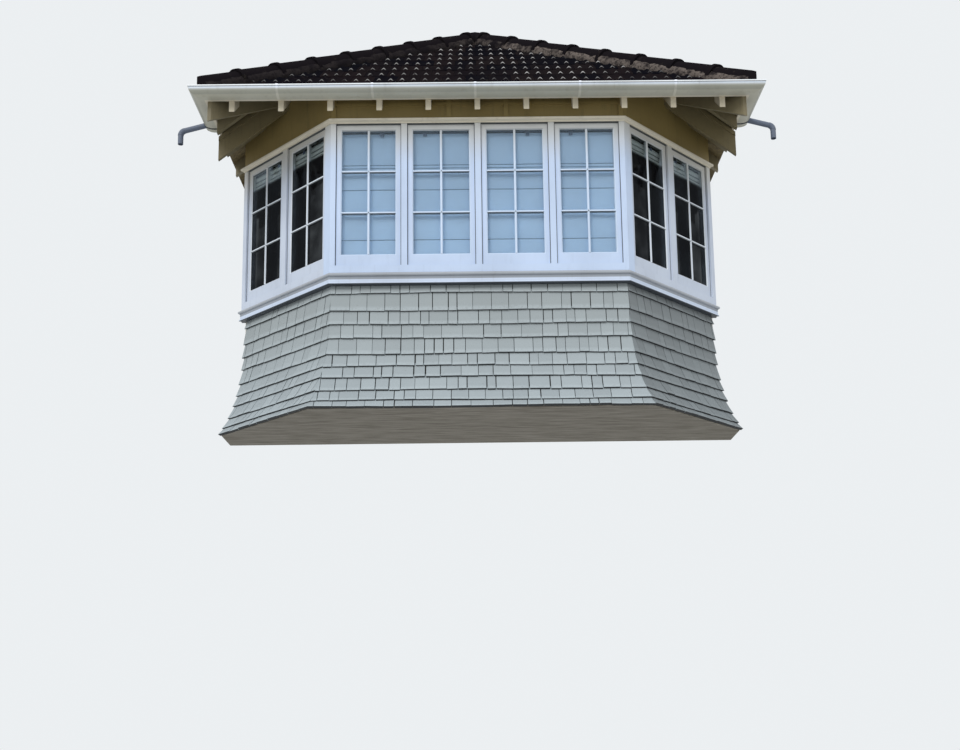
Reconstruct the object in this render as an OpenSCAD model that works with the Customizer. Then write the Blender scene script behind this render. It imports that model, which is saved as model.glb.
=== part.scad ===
// Canted bay window of an upper storey, with its flared apron and hipped hood.
// The origin is the middle of the ledger's back face, on the wall. +Z is up and
// the bay stands out towards -Y. All lengths are in millimetres.

/* [Plan] */
// Distance from the wall to the outer face of the front frame
projection = 1030; // [980:5:1080]
// Turn of each side frame away from the front, in degrees
cant = 45; // [43:0.5:47]
// Width of the opening for each of the two inner front sashes
inner_opening_w = 624; // [580:1:670]
// Width of the opening for each of the two outer front sashes
outer_opening_w = 601; // [560:1:650]
// Width of the three front mullions
front_mullion_w = 55; // [45:1:70]
// Width of a corner post on the front
front_post_w = 48; // [40:1:60]
// Width of a corner post on the canted side
side_post_w = 86; // [75:1:100]
// Width of the mullion in each canted side
side_mullion_w = 72; // [55:1:90]
// Width of the post where a canted side meets the wall
wall_post_w = 119; // [112:1:140]
// Thickness of the wall's own cladding, which the edges of the bay are rebated for
cladding_t = 45; // [35:1:55]

/* [Heights] */
// Height of the ledger on the wall
ledger_h = 240; // [200:5:280]
// Thickness of the ledger
ledger_t = 45; // [35:1:60]
// Thickness of the floor boards
floor_t = 25; // [18:1:35]
// Height of the top of the sill above the floor
sill_rise = 700; // [660:5:740]
// Height of the frame below the sashes
frame_foot_h = 70; // [60:1:80]
// Height of the openings for the sashes
opening_h = 1380; // [1300:5:1460]
// Height of the frame above the sashes
frame_head_h = 40; // [35:1:55]

/* [Frames and sashes] */
// Thickness of the frames
frame_t = 110; // [100:1:125]
// Set-back of the sashes behind the face of the frame
sash_set = 20; // [12:1:26]
// Thickness of a sash
sash_t = 42; // [36:1:50]
// Width of the stop that a sash closes against
stop_w = 12; // [8:1:16]
// Gap round a sash
sash_gap = 3; // [2:0.5:5]
// Width of the stiles of a sash
stile_w = 50; // [42:1:60]
// Height of the top rail of a sash
top_rail_h = 58; // [48:1:70]
// Height of the bottom rail of a sash
bottom_rail_h = 109; // [90:1:125]
// Width of the rebate that holds the glass
rebate_w = 8; // [6:1:12]
// Depth of the rebate that holds the glass
rebate_d = 14; // [10:1:18]
// Thickness of the glass
glass_t = 4; // [3:0.5:6]
// Gap round a pane of glass
glass_gap = 2; // [1:0.5:3]

/* [Sill and head mould] */
// Height of the sill
sill_h = 112; // [100:1:125]
// How far the nosing of the sill stands out from the frame
sill_nose = 25; // [18:1:35]
// How far the face of the sill below the nosing stands out from the frame
sill_face = 8; // [4:1:14]
// Height of the nosing
nosing_h = 30; // [24:1:36]
// Height of the bead along the bottom of the sill
bead_h = 18; // [14:1:24]
// How far the bead stands out from the face of the sill
bead_out = 9; // [6:1:12]
// Fall of the top of the sill outside the frame
sill_fall = 8; // [4:1:12]
// Width of the flat along the top of the sill, outside the frame
sill_rim = 2; // [1:0.5:4]
// Radius of the hollow below the nosing
scotia_r = 12; // [8:1:14]
// Height of the head mould
head_mould_h = 40; // [34:1:48]
// How far the head mould stands out from the frame
head_mould_out = 30; // [24:1:36]

/* [Apron] */
// Thickness of the walls under the sill
apron_t = 90; // [80:1:110]
// Set-back of the outer face of these walls behind the face of the frame
apron_set = 58; // [54:1:70]
// Set-back of the apron's cladding, at its top, behind the face of the frame
skirt_set = 46; // [42:1:50]
// Height of the apron's plain upper part
skirt_plain_h = 380; // [340:5:420]
// Height of the apron's flared lower part
skirt_flare_h = 840; // [780:5:880]
// Radius of the flare
skirt_r = 1500; // [1450:10:1600]
// Lean of the plain upper part, in degrees from upright
skirt_lean = 4; // [3:0.5:5]
// Thickness of the cladding on the flare
skirt_t = 28; // [22:1:34]
// Thickness of the boards that close the apron below
soffit_t = 18; // [15:1:25]

/* [Hood frame] */
// Pitch of the hood, in degrees
pitch = 38.1; // [37:0.1:39.5]
// Reach of the front rafters beyond the frame
front_eave = 125; // [105:5:145]
// Reach of the side rafters beyond the bay where it meets the wall
side_eave = 85; // [70:5:100]
// Height of the lower end of the rafters above the top of the frames
eave_rise = 25; // [15:1:35]
// Distance from rafter to rafter
rafter_step = 450; // [430:5:470]
// Width of a rafter
rafter_w = 50; // [40:1:55]
// Upright depth of a rafter
rafter_depth = 140; // [125:5:155]
// Distance from the front tails to the first side rafter
first_side_rafter = 425; // [400:5:450]
// Width of the hip rafters
hip_w = 45; // [38:1:50]
// How far the hip rafters hang below the others
hip_drop = 92; // [80:1:105]
// Thickness of the ridge board
ridge_t = 35; // [30:1:40]
// Depth of the ridge board
ridge_depth = 185; // [180:5:220]
// Length of the ridge behind the top of the hips
ridge_run = 185; // [170:5:260]
// Set-back of the frieze walls behind the face of the frame
frieze_set = 8; // [5:1:14]
// Thickness of the ceiling boards
ceiling_t = 15; // [12:1:20]

/* [Hood covering] */
// Upright thickness of the roof boards
board_depth = 25; // [20:1:30]
// Thickness of the fascia
fascia_t = 25; // [20:1:30]
// Upright depth of the battens under the tiles
batten_depth = 45; // [40:1:50]
// Upright depth of the tiles
tile_depth = 37; // [32:1:42]
// Reach of the tiles beyond the fascia
tile_nose = 60; // [50:5:70]
// Radius of a capping at its lower end
capping_r = 116; // [108:1:122]
// Radius of a capping at its upper end
capping_top_r = 106; // [98:1:107]
// How far the collar of a capping stands out
collar_out = 12; // [8:1:16]
// Length of the collar of a capping
collar_len = 45; // [35:5:60]
// Length of a capping from collar to collar
capping_step = 496; // [470:1:520]
// Distance along the hip from the front tails to the first collar
first_collar = 341; // [300:1:380]
// Depth of the middle of the cappings below the top of the tiles
capping_sink = 8; // [4:1:14]

/* [Gutter] */
// Width of the gutter
gutter_w = 130; // [120:1:140]
// Height of the gutter
gutter_h = 82; // [75:1:84]
// Depth of the bottom of the gutter below the rafters' upper edge at the tails
gutter_drop = 37; // [35:1:45]
// Thickness of the gutter's metal
gutter_t = 3; // [2:0.5:4]
// Width of the flat bottom of the gutter
gutter_flat = 26; // [18:1:34]
// Height of the curved part of the gutter's front
gutter_curve_h = 52; // [46:1:58]
// Width of the bead along the gutter's top
gutter_bead = 8; // [6:1:10]
// Height of the bead along the gutter's top
gutter_bead_h = 10; // [8:1:14]
// Distance from the wall to the closed ends of the gutter
gutter_end = 567; // [560:1:590]
// Diameter of the spreader pipes
pipe_d = 55; // [45:1:60]
// Length of a spreader pipe away from the gutter
pipe_run = 190; // [160:5:230]
// Fall of a spreader pipe, in degrees
pipe_fall = 15; // [8:1:20]
// Length of the upright end of a spreader pipe
pipe_drop = 90; // [70:5:130]
// Radius of the bend of a spreader pipe
pipe_bend_r = 50; // [40:1:60]
// How far the bend stands out round the pipe
pipe_socket = 2; // [1.5:0.5:2.5]
// Thickness of the pipe's wall
pipe_wall = 3; // [3:0.5:5]

/* [Verge] */
// Distance from the wall to the face of the verge boards
verge_y = 555; // [545:1:558]
// Thickness of the verge boards
verge_t = 30; // [25:1:35]
// Upright depth of the verge boards
verge_depth = 240; // [220:5:260]
// How far the verge boards hang below the rafters' lower edge
verge_drop = 157; // [140:1:170]
// Upright depth of the mould along the top of a verge board
verge_mould_h = 45; // [35:1:55]
// How far this mould stands out
verge_mould_out = 10; // [6:1:11]
// Thickness of the rafter behind a verge board
verge_rafter_t = 35; // [30:1:40]

/* [Hidden] */

// Plan of the bay, at the outer face of the frames
half_front = 1.5 * front_mullion_w + inner_opening_w + outer_opening_w + front_post_w;
side_run = projection / sin(cant);
wall_half = half_front + projection / tan(cant);
side_opening_w = (side_run - side_post_w - side_mullion_w - wall_post_w) / 2;

// Left edges of the openings, along the front and along a side from its corner
front_inner_x = front_mullion_w / 2;
front_outer_x = front_inner_x + inner_opening_w + front_mullion_w;
side_outer_x = side_post_w + side_opening_w + side_mullion_w;

// Levels
floor_top = ledger_h / 2 + floor_t;
sill_top = floor_top + sill_rise;
sill_foot = sill_top - sill_h;
opening_z = sill_top + frame_foot_h;
frame_top = opening_z + opening_h + frame_head_h;
foot_z = frame_top + eave_rise;
skirt_bend_z = sill_foot - skirt_plain_h;
skirt_foot = skirt_bend_z - skirt_flare_h;

// Hood: its slopes rise by the same amount for each millimetre inward from the tails
rise = tan(pitch);
eave_y = projection + front_eave;
eave_half = wall_half + side_eave;
apex_y = eave_half - eave_y;
back_y = apex_y + ridge_run;
boards_top = rafter_depth + board_depth;
tiles_top = boards_top + batten_depth + tile_depth;
fascia_y = eave_y + fascia_t;
fascia_half = eave_half + fascia_t;
nose_y = fascia_y + tile_nose;
nose_half = fascia_half + tile_nose;
hip_slope = rise / sqrt(2);
hip_angle = atan(hip_slope);
hip_side = hip_w / sqrt(2);
ridge_front_y = apex_y - hip_side - ridge_t / 2;
gutter_z = foot_z + rafter_depth - gutter_drop;
front_rafter_count = floor((eave_half - 2 * rafter_w) / rafter_step);
first_side_y = first_side_rafter - eave_y;
side_rafter_count = floor((back_y - 1.5 * rafter_w - first_side_y) / rafter_step);

// Reach of the solids that others are cut with, past the whole part
far = 1.3 * eave_half;
past = 1;
low_z = skirt_foot - ledger_h;
high_z = slope_z(eave_half, tiles_top) + sill_rise;

// Facets of round pieces
round_fn = 48;
arc_steps = 14;

// Corner of the bay's plan, and its end on the wall, offset outward from the frame's face
function corner(out) = [half_front + out * tan(cant / 2), -projection - out];
function wall_end(out) = [wall_half + out / sin(cant), 0];
function flip(point) = [-point[0], point[1]];
function flip_all(points) = [for (i = [len(points) - 1:-1:0]) flip(points[i])];

// Whole plan of the bay out to an offset, closed along the wall
function whole_plan(out) = [
    flip(wall_end(out)), flip(corner(out)), corner(out), wall_end(out)
];

// Plan of a wall along the front or the right side, between two offsets
function front_plan(out, in) = [flip(corner(out)), corner(out), corner(in), flip(corner(in))];
function side_plan(out, in) = [corner(out), wall_end(out), wall_end(in), corner(in)];

// Plan of what belongs to the front or to the right side, parted along the mitre
function front_zone() = front_plan(sill_h * 5, -projection);
function side_zone() = [
    corner(sill_h * 5), [far * 2, -projection - sill_h * 5], [far * 2, 0], corner(-projection)
];

module on_left() mirror([1, 0, 0]) children();

// The wall's cladding, which runs in behind the outer edge of the right side
module beside_wall() translate([wall_half - cladding_t / tan(cant), -cladding_t, low_z])
    cube([far, far, high_z - low_z]);

module prism(points, z0, z1) translate([0, 0, z0]) linear_extrude(z1 - z0) polygon(points);

// Place children that are drawn along a face: x runs along it and y goes inward
module on_front() translate([0, -projection, 0]) children();
module on_right() translate([half_front, -projection, 0]) rotate([0, 0, cant]) children();

// Run a section along a face; the section's points are outward offset and height
module run(from, to, section)
    translate([to, 0, 0]) rotate([90, 0, -90]) linear_extrude(to - from) polygon(section);

module front_moulding(section) intersection() {
    on_front() run(-far, far, section);
    prism(front_zone(), low_z, high_z);
}

module right_moulding(section) intersection() {
    on_right() run(-far, far, section);
    prism(side_zone(), low_z, high_z);
}

// Carry a profile round the whole bay: what lies within it on all three faces, less the
// inside out to an offset. The profile's points run from its top down to its foot.
module mouldings(profile, inside) {
    top = profile[0][1];
    foot = profile[len(profile) - 1][1];
    section = concat([[-2 * far, foot], [-2 * far, top]], profile);
    difference() {
        intersection() {
            on_front() run(-far, far, section);
            on_right() run(-far, 2 * far, section);
            on_left() on_right() run(-far, 2 * far, section);
            translate([-2 * far, -far, foot]) cube([4 * far, far, top - foot]);
        }
        translate([0, 0, foot - past]) linear_extrude(top - foot + 2 * past)
            polygon(concat([flip(wall_end(inside)) + [0, past]], whole_plan(inside),
                [wall_end(inside) + [0, past]]));
        beside_wall();
        on_left() beside_wall();
    }
}

// Slopes of the hood: a section's points are the distance inward from the tails and height
function slope_z(inward, lift) = foot_z + lift + rise * inward;
function slope_band(start, low, high) = [
    [start, slope_z(start, low)], [far, slope_z(far, low)],
    [far, slope_z(far, high)], [start, slope_z(start, high)]
];
function below_slope(lift, reach = far) = [
    [-far / 4, low_z], [reach, low_z],
    [reach, slope_z(reach, lift)], [-far / 4, slope_z(-far / 4, lift)]
];

module front_slope(section)
    translate([-far, -eave_y, 0]) rotate([90, 0, 90]) linear_extrude(2 * far) polygon(section);

module right_slope(section)
    translate([eave_half, far, 0]) mirror([1, 0, 0]) rotate([90, 0, 0])
        linear_extrude(2 * far) polygon(section);

module below_hip(lift) intersection() {
    front_slope(below_slope(lift));
    right_slope(below_slope(lift));
}

module below_roof(lift) intersection() {
    front_slope(below_slope(lift));
    right_slope(below_slope(lift, 2 * far));
    on_left() right_slope(below_slope(lift, 2 * far));
}

// Floor and the walls under the sill

module wall_ledger() color("tan")
    intersection() {
        prism(whole_plan(-apron_set - apron_t), -ledger_h / 2, ledger_h / 2);
        translate([-far, -ledger_t, -ledger_h]) cube([2 * far, ledger_t, 2 * ledger_h]);
    }

module floor_boards() color("peru")
    prism(whole_plan(-apron_set - apron_t), ledger_h / 2, floor_top);

module front_apron_wall() color("wheat")
    prism(front_plan(-apron_set, -apron_set - apron_t), -ledger_h / 2, sill_foot);

module right_apron_wall() color("wheat")
    prism(side_plan(-apron_set, -apron_set - apron_t), -ledger_h / 2, sill_foot);

module left_apron_wall() on_left() right_apron_wall();

// Flared cladding: a plain upper part that leans out, then an arc down to its foot

skirt_bend_out = -skirt_set + skirt_plain_h * tan(skirt_lean);
skirt_arc_out = skirt_bend_out + skirt_r * cos(skirt_lean);
skirt_arc_z = skirt_bend_z + skirt_r * sin(skirt_lean);

function skirt_end_angle(r) = asin((skirt_arc_z - skirt_foot) / r);
function skirt_arc(r) = [
    for (i = [0:arc_steps])
        let (turn = skirt_lean + (skirt_end_angle(r) - skirt_lean) * i / arc_steps)
        [skirt_arc_out - r * cos(turn), skirt_arc_z - r * sin(turn)]
];
function reversed(points) = [for (i = [len(points) - 1:-1:0]) points[i]];

skirt_outside = concat([[-skirt_set, sill_foot]], skirt_arc(skirt_r));
skirt_section = concat(
    [[-apron_set, sill_foot]],
    skirt_outside,
    reversed(skirt_arc(skirt_r + skirt_t)),
    [[-apron_set, skirt_bend_z]]
);

// The wall's cladding flares like the apron, so the two meet along an upright valley
wall_flare = skirt_set + cladding_t;
skirt_foot_out = skirt_arc_out - skirt_r * cos(skirt_end_angle(skirt_r));
function valley_x(out) = wall_half - wall_flare / tan(cant) + out * tan(cant / 2);

// Space behind the flared face of the wall's cladding
module behind_wall_face(back)
    translate([-far, 0, 0]) rotate([90, 0, 90]) linear_extrude(2 * far) polygon(concat(
        [[-wall_flare + skirt_set, sill_foot + past]],
        [for (point = skirt_outside) [-wall_flare - point[0], point[1]]],
        [[-wall_flare - skirt_foot_out, low_z], [back, low_z], [back, sill_foot + past]]
    ));

module front_skirt() color("silver") front_moulding(skirt_section);

module right_skirt() color("silver")
    difference() {
        right_moulding(skirt_section);
        behind_wall_face(past);
    }

module left_skirt() on_left() right_skirt();

// A shaped board closes the end of the apron, from the valley straight back to the wall
module right_skirt_end() color("gray")
    difference() {
        intersection() {
            translate([0, far, 0]) rotate([90, 0, 0]) linear_extrude(2 * far) polygon(concat(
                [for (point = skirt_outside) [valley_x(point[0]), point[1]]],
                [for (point = reversed(skirt_outside)) [valley_x(point[0]) - skirt_t, point[1]]]
            ));
            behind_wall_face(0);
        }
        prism(whole_plan(-apron_set), -ledger_h / 2, high_z);
    }

module left_skirt_end() on_left() right_skirt_end();

module skirt_soffit() color("gray")
    prism([
        [-valley_x(skirt_foot_out), 0], [-valley_x(skirt_foot_out), -wall_flare - skirt_foot_out],
        flip(corner(skirt_foot_out)), corner(skirt_foot_out),
        [valley_x(skirt_foot_out), -wall_flare - skirt_foot_out], [valley_x(skirt_foot_out), 0]
    ], skirt_foot - soffit_t, skirt_foot);

// Sill: weathered top, round nosing, hollow, plain face and bottom bead

function arc_points(centre, r, from, to, steps) = [
    for (i = [0:steps])
        let (turn = from + (to - from) * i / steps)
        [centre[0] + r * cos(turn), centre[1] + r * sin(turn)]
];

nosing_top = sill_top - sill_fall;
nosing_r = nosing_h / 2;
bead_r = bead_h / 2;
sill_profile = concat(
    [[sill_rim, sill_top]],
    arc_points([sill_nose - nosing_r, nosing_top - nosing_r], nosing_r, 70, -90, 8),
    reversed(arc_points([sill_face + scotia_r, nosing_top - nosing_h - scotia_r], scotia_r, 180, 120, 4)),
    [[sill_face, sill_foot + bead_h]],
    arc_points([sill_face + bead_out - bead_r, sill_foot + bead_r], bead_r, 90, -90, 8)
);

module window_sill() color("white") mouldings(sill_profile, -apron_set - apron_t);

// Window frames, drawn along a face with rebated openings

module frame_slab(from, to)
    translate([from, 0, sill_top]) cube([to - from, frame_t, frame_top - sill_top]);

module opening_cut(x, w) {
    translate([x, -past, opening_z]) cube([w, sash_set + sash_t + past, opening_h]);
    translate([x + stop_w, 0, opening_z + stop_w])
        cube([w - 2 * stop_w, frame_t + past, opening_h - 2 * stop_w]);
}

module front_window_frame() color("white")
    on_front() difference() {
        frame_slab(front_post_w - half_front, half_front - front_post_w);
        for (side = [0, 1]) mirror([side, 0, 0]) {
            opening_cut(front_inner_x, inner_opening_w);
            opening_cut(front_outer_x, outer_opening_w);
        }
    }

module right_window_frame() color("white")
    difference() {
        intersection() {
            on_right() difference() {
                frame_slab(side_post_w, 2 * side_run);
                opening_cut(side_post_w, side_opening_w);
                opening_cut(side_outer_x, side_opening_w);
            }
            translate([0, -2 * projection, 0]) cube([2 * far, 2 * projection, high_z]);
        }
        beside_wall();
    }

module left_window_frame() on_left() right_window_frame();

// A corner post shows one face to the front and one to the side
function along_side(x, in) = [
    half_front + x * cos(cant) - in * sin(cant),
    -projection + x * sin(cant) + in * cos(cant)
];

module right_corner_post() color("white")
    prism([
        [half_front - front_post_w, -projection], [half_front, -projection],
        along_side(side_post_w, 0), along_side(side_post_w, frame_t),
        [half_front - front_post_w, frame_t - projection]
    ], sill_top, frame_top);

module left_corner_post() on_left() right_corner_post();

// Sashes and their glass

module sash(x, opening_w) color("white") {
    w = opening_w - 2 * sash_gap;
    h = opening_h - 2 * sash_gap;
    pane_w = w - 2 * stile_w;
    pane_h = h - top_rail_h - bottom_rail_h;
    translate([x + sash_gap, sash_set, opening_z + sash_gap]) difference() {
        cube([w, sash_t, h]);
        translate([stile_w, -past, bottom_rail_h]) cube([pane_w, sash_t + 2 * past, pane_h]);
        translate([stile_w - rebate_w, -past, bottom_rail_h - rebate_w])
            cube([pane_w + 2 * rebate_w, rebate_d + past, pane_h + 2 * rebate_w]);
    }
}

module pane(x, opening_w) color("lightblue", 0.4) {
    grow = rebate_w - glass_gap;
    translate([
        x + sash_gap + stile_w - grow,
        sash_set + rebate_d - glass_t,
        opening_z + sash_gap + bottom_rail_h - grow
    ]) cube([
        opening_w - 2 * (sash_gap + stile_w - grow),
        glass_t,
        opening_h - 2 * sash_gap - top_rail_h - bottom_rail_h + 2 * grow
    ]);
}

module front_sash_1() on_left() front_sash_4();
module front_sash_2() on_left() front_sash_3();
module front_sash_3() on_front() sash(front_inner_x, inner_opening_w);
module front_sash_4() on_front() sash(front_outer_x, outer_opening_w);
module right_sash_1() on_right() sash(side_post_w, side_opening_w);
module right_sash_2() on_right() sash(side_outer_x, side_opening_w);
module left_sash_1() on_left() right_sash_1();
module left_sash_2() on_left() right_sash_2();

module glass_panes() for (side = [0, 1]) mirror([side, 0, 0]) {
    on_front() pane(front_inner_x, inner_opening_w);
    on_front() pane(front_outer_x, outer_opening_w);
    on_right() pane(side_post_w, side_opening_w);
    on_right() pane(side_outer_x, side_opening_w);
}

// Head mould: a fillet, a cyma and a wide top fillet

mould_foot = frame_top - head_mould_h;
mould_fillet = head_mould_h / 5;
cyma_h = head_mould_h - 3 * mould_fillet;
cyma_out = head_mould_out - mould_fillet;
mould_profile = concat(
    [[0, frame_top], [head_mould_out, frame_top - past]],
    [
        for (i = [arc_steps:-1:0])
            let (turn = 180 * i / arc_steps)
            [
                mould_fillet + cyma_out * (1 - cos(turn)) / 2,
                mould_foot + mould_fillet + cyma_h * i / arc_steps
            ]
    ],
    [[mould_fillet, mould_foot]]
);

module head_mould() color("ivory") mouldings(mould_profile, 0);

// Rafters and the walls between them over the frames

// Rafters run up to a set distance from the middle of the hip rafters, and as cutters
// they reach past their upper edge
module front_rafter_row(hip_gap, over = 0)
    intersection() {
        for (i = [-front_rafter_count:front_rafter_count])
            translate([i * rafter_step - rafter_w / 2, -eave_y, 0]) cube([rafter_w, far, high_z]);
        front_slope(slope_band(0, 0, rafter_depth + over));
        prism([
            [hip_gap - eave_half, -eave_y], [eave_half - hip_gap, -eave_y],
            [ridge_t / 2, ridge_front_y], [-ridge_t / 2, ridge_front_y]
        ], low_z, high_z);
    }

module front_rafters() color("antiquewhite") front_rafter_row(hip_side);

module rafter_row(y, w) translate([0, y - w / 2, 0]) cube([far, w, high_z]);

module side_rafter_rows(hip_gap, over = 0)
    intersection() {
        union() {
            for (i = [0:side_rafter_count]) rafter_row(first_side_y + i * rafter_step, rafter_w);
            rafter_row(back_y - rafter_w / 2, rafter_w);
            rafter_row(verge_t + verge_rafter_t / 2 - verge_y, verge_rafter_t);
        }
        right_slope(slope_band(0, 0, rafter_depth + over));
        prism([
            [eave_half, hip_gap - eave_y], [eave_half, back_y],
            [ridge_t / 2, back_y], [ridge_t / 2, apex_y + hip_gap - ridge_t / 2]
        ], low_z, high_z);
    }

module right_rafters() color("antiquewhite") side_rafter_rows(hip_side);

module left_rafters() on_left() right_rafters();

// A hip rafter is backed to both slopes and its tail is cut square to both fascias
module hip_bar(over = 0)
    intersection() {
        translate([eave_half, -eave_y, 0]) rotate([0, 0, 135]) translate([0, hip_w / 2, 0])
            rotate([90, 0, 0]) linear_extrude(hip_w) polygon([
                [-hip_w, foot_z - hip_drop - hip_slope * hip_w],
                [2 * far, foot_z - hip_drop + hip_slope * 2 * far],
                [2 * far, high_z * 2],
                [-hip_w, high_z * 2]
            ]);
        below_hip(rafter_depth + over);
        translate([ridge_t / 2, -eave_y, 0]) cube([eave_half - ridge_t / 2, far * 2, high_z]);
    }

module right_hip_rafter() color("antiquewhite") hip_bar();

module left_hip_rafter() on_left() right_hip_rafter();

module ridge_board() color("antiquewhite") {
    peak = slope_z(eave_half, rafter_depth);
    intersection() {
        translate([-ridge_t / 2, ridge_front_y, peak - ridge_depth])
            cube([ridge_t, back_y - ridge_front_y, ridge_depth]);
        below_roof(rafter_depth);
    }
}

module front_frieze() color("darkkhaki")
    difference() {
        intersection() {
            prism(front_plan(-frieze_set, -frame_t), frame_top, high_z);
            front_slope(below_slope(rafter_depth));
        }
        front_rafter_row(hip_side, past);
    }

module right_frieze() color("darkkhaki")
    difference() {
        intersection() {
            prism(side_plan(-frieze_set, -frame_t), frame_top, high_z);
            below_hip(rafter_depth);
        }
        beside_wall();
        front_rafter_row(0, past);
        side_rafter_rows(0, past);
        hip_bar(past);
    }

module left_frieze() on_left() right_frieze();

module bay_ceiling() color("linen") prism(whole_plan(-frame_t), frame_top, frame_top + ceiling_t);

// Boards, tiles and cappings

function front_cover(y, half) = [[-half, -y], [half, -y], [0, apex_y]];
boards_side_plan = [
    [fascia_half, -fascia_y], [fascia_half, back_y], [0, back_y], [0, apex_y]
];
tiles_side_plan = [
    [nose_half, -nose_y], [nose_half, -gutter_end], [fascia_half, -gutter_end],
    [fascia_half, back_y], [0, back_y], [0, apex_y]
];
tile_section = let (nose = -fascia_t - tile_nose, nose_low = boards_top + batten_depth) [
    [-fascia_t, slope_z(-fascia_t, boards_top)], [far, slope_z(far, boards_top)],
    [far, slope_z(far, tiles_top)], [nose, slope_z(nose, tiles_top)],
    [nose, slope_z(nose, nose_low)], [-fascia_t, slope_z(-fascia_t, nose_low)]
];

module front_roof_boards() color("burlywood")
    intersection() {
        front_slope(slope_band(-far / 4, rafter_depth, boards_top));
        prism(front_cover(fascia_y, fascia_half), low_z, high_z);
    }

module right_roof_boards() color("burlywood")
    intersection() {
        right_slope(slope_band(-far / 4, rafter_depth, boards_top));
        prism(boards_side_plan, low_z, high_z);
    }

module left_roof_boards() on_left() right_roof_boards();

module front_roof_tiles() color("dimgray")
    intersection() {
        front_slope(tile_section);
        prism(front_cover(nose_y, nose_half), low_z, high_z);
    }

module right_roof_tiles() color("dimgray")
    intersection() {
        right_slope(tile_section);
        prism(tiles_side_plan, low_z, high_z);
    }

module left_roof_tiles() on_left() right_roof_tiles();

// A row of tapered cappings, each with a collar that laps the one below
capping_count = floor((eave_half * sqrt(2) / cos(hip_angle) - first_collar) / capping_step);
capping_start = -tile_nose * sqrt(2) - fascia_t;
function capping_section(last) = concat(
    [[0, capping_start], [capping_r, capping_start]],
    [
        for (i = [0:last], edge = [0:3])
            let (foot = first_collar + i * capping_step)
            [
                [capping_top_r, capping_r + collar_out, capping_r + collar_out, capping_r][edge],
                foot + (edge < 2 ? 0 : collar_len)
            ]
    ],
    [[capping_top_r, far * 1.5], [0, far * 1.5]]
);
ridge_zone = tan(cant / 2);

module right_hip_capping() color("slategray")
    difference() {
        intersection() {
            translate([eave_half, -eave_y, slope_z(0, tiles_top)])
                rotate([0, 0, 135]) rotate([0, -hip_angle, 0])
                    translate([0, 0, -capping_sink]) rotate([0, 90, 0])
                        rotate_extrude($fn = round_fn) polygon(capping_section(capping_count));
            prism([
                [0, -nose_y], [nose_half, -nose_y],
                [nose_half, apex_y + nose_half * ridge_zone], [0, apex_y]
            ], low_z, high_z);
        }
        below_hip(tiles_top);
    }

module left_hip_capping() on_left() right_hip_capping();

module ridge_capping() color("slategray") {
    ridge_half = 2 * capping_r;
    difference() {
        intersection() {
            translate([0, back_y, slope_z(eave_half, tiles_top) - capping_sink])
                rotate([90, 0, 0]) cylinder(h = 2 * ridge_run, r = capping_r, $fn = round_fn);
            prism([
                [0, apex_y], [ridge_half, apex_y + ridge_half * ridge_zone],
                [ridge_half, back_y], [-ridge_half, back_y],
                [-ridge_half, apex_y + ridge_half * ridge_zone]
            ], low_z, high_z);
        }
        right_slope(below_slope(tiles_top));
        on_left() right_slope(below_slope(tiles_top));
    }
}

// Fascia and gutter, mitred round the front corners

verge_rafter_back = verge_t + verge_rafter_t - verge_y;

module fascia() color("ivory")
    intersection() {
        prism([
            [-fascia_half, verge_rafter_back], [-fascia_half, -fascia_y],
            [fascia_half, -fascia_y], [fascia_half, verge_rafter_back],
            [eave_half, verge_rafter_back], [eave_half, -eave_y],
            [-eave_half, -eave_y], [-eave_half, verge_rafter_back]
        ], gutter_z, high_z);
        below_roof(rafter_depth);
    }

gutter_face = gutter_w - gutter_bead;
function gutter_arc(t) = [
    for (i = [0:arc_steps])
        let (turn = 90 * i / arc_steps)
        [
            gutter_flat + (gutter_face - gutter_flat - t) * sin(turn),
            gutter_z + gutter_curve_h - (gutter_curve_h - t) * cos(turn)
        ]
];
gutter_top = gutter_z + gutter_h;
gutter_outline = concat(
    [[0, gutter_top], [0, gutter_z]],
    gutter_arc(0),
    [
        [gutter_face, gutter_top - gutter_bead_h], [gutter_w, gutter_top - gutter_bead_h],
        [gutter_w, gutter_top]
    ]
);
gutter_section = concat(
    gutter_outline,
    [[gutter_face - gutter_t, gutter_top]],
    reversed(gutter_arc(gutter_t)),
    [[gutter_t, gutter_z + gutter_t], [gutter_t, gutter_top]]
);

// Length of gutter along the front, and along the right side from a given start
module front_gutter(section) intersection() {
    translate([0, -fascia_y, 0]) run(-far, far, section);
    prism([
        [-fascia_half - far, -fascia_y - far], [fascia_half + far, -fascia_y - far],
        [fascia_half, -fascia_y], [-fascia_half, -fascia_y]
    ], low_z, high_z);
}

module right_gutter(section, from) intersection() {
    translate([fascia_half, 0, 0]) rotate([0, 0, 90]) run(from, -gutter_end, section);
    prism([
        [fascia_half, -fascia_y], [fascia_half + far, -fascia_y - far],
        [fascia_half + far, 0], [fascia_half, 0]
    ], low_z, high_z);
}

module eaves_gutter() color("whitesmoke") {
    front_gutter(gutter_section);
    for (side = [0, 1]) mirror([side, 0, 0]) {
        right_gutter(gutter_section, -far);
        right_gutter(gutter_outline, -gutter_end - gutter_t);
    }
}

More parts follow.
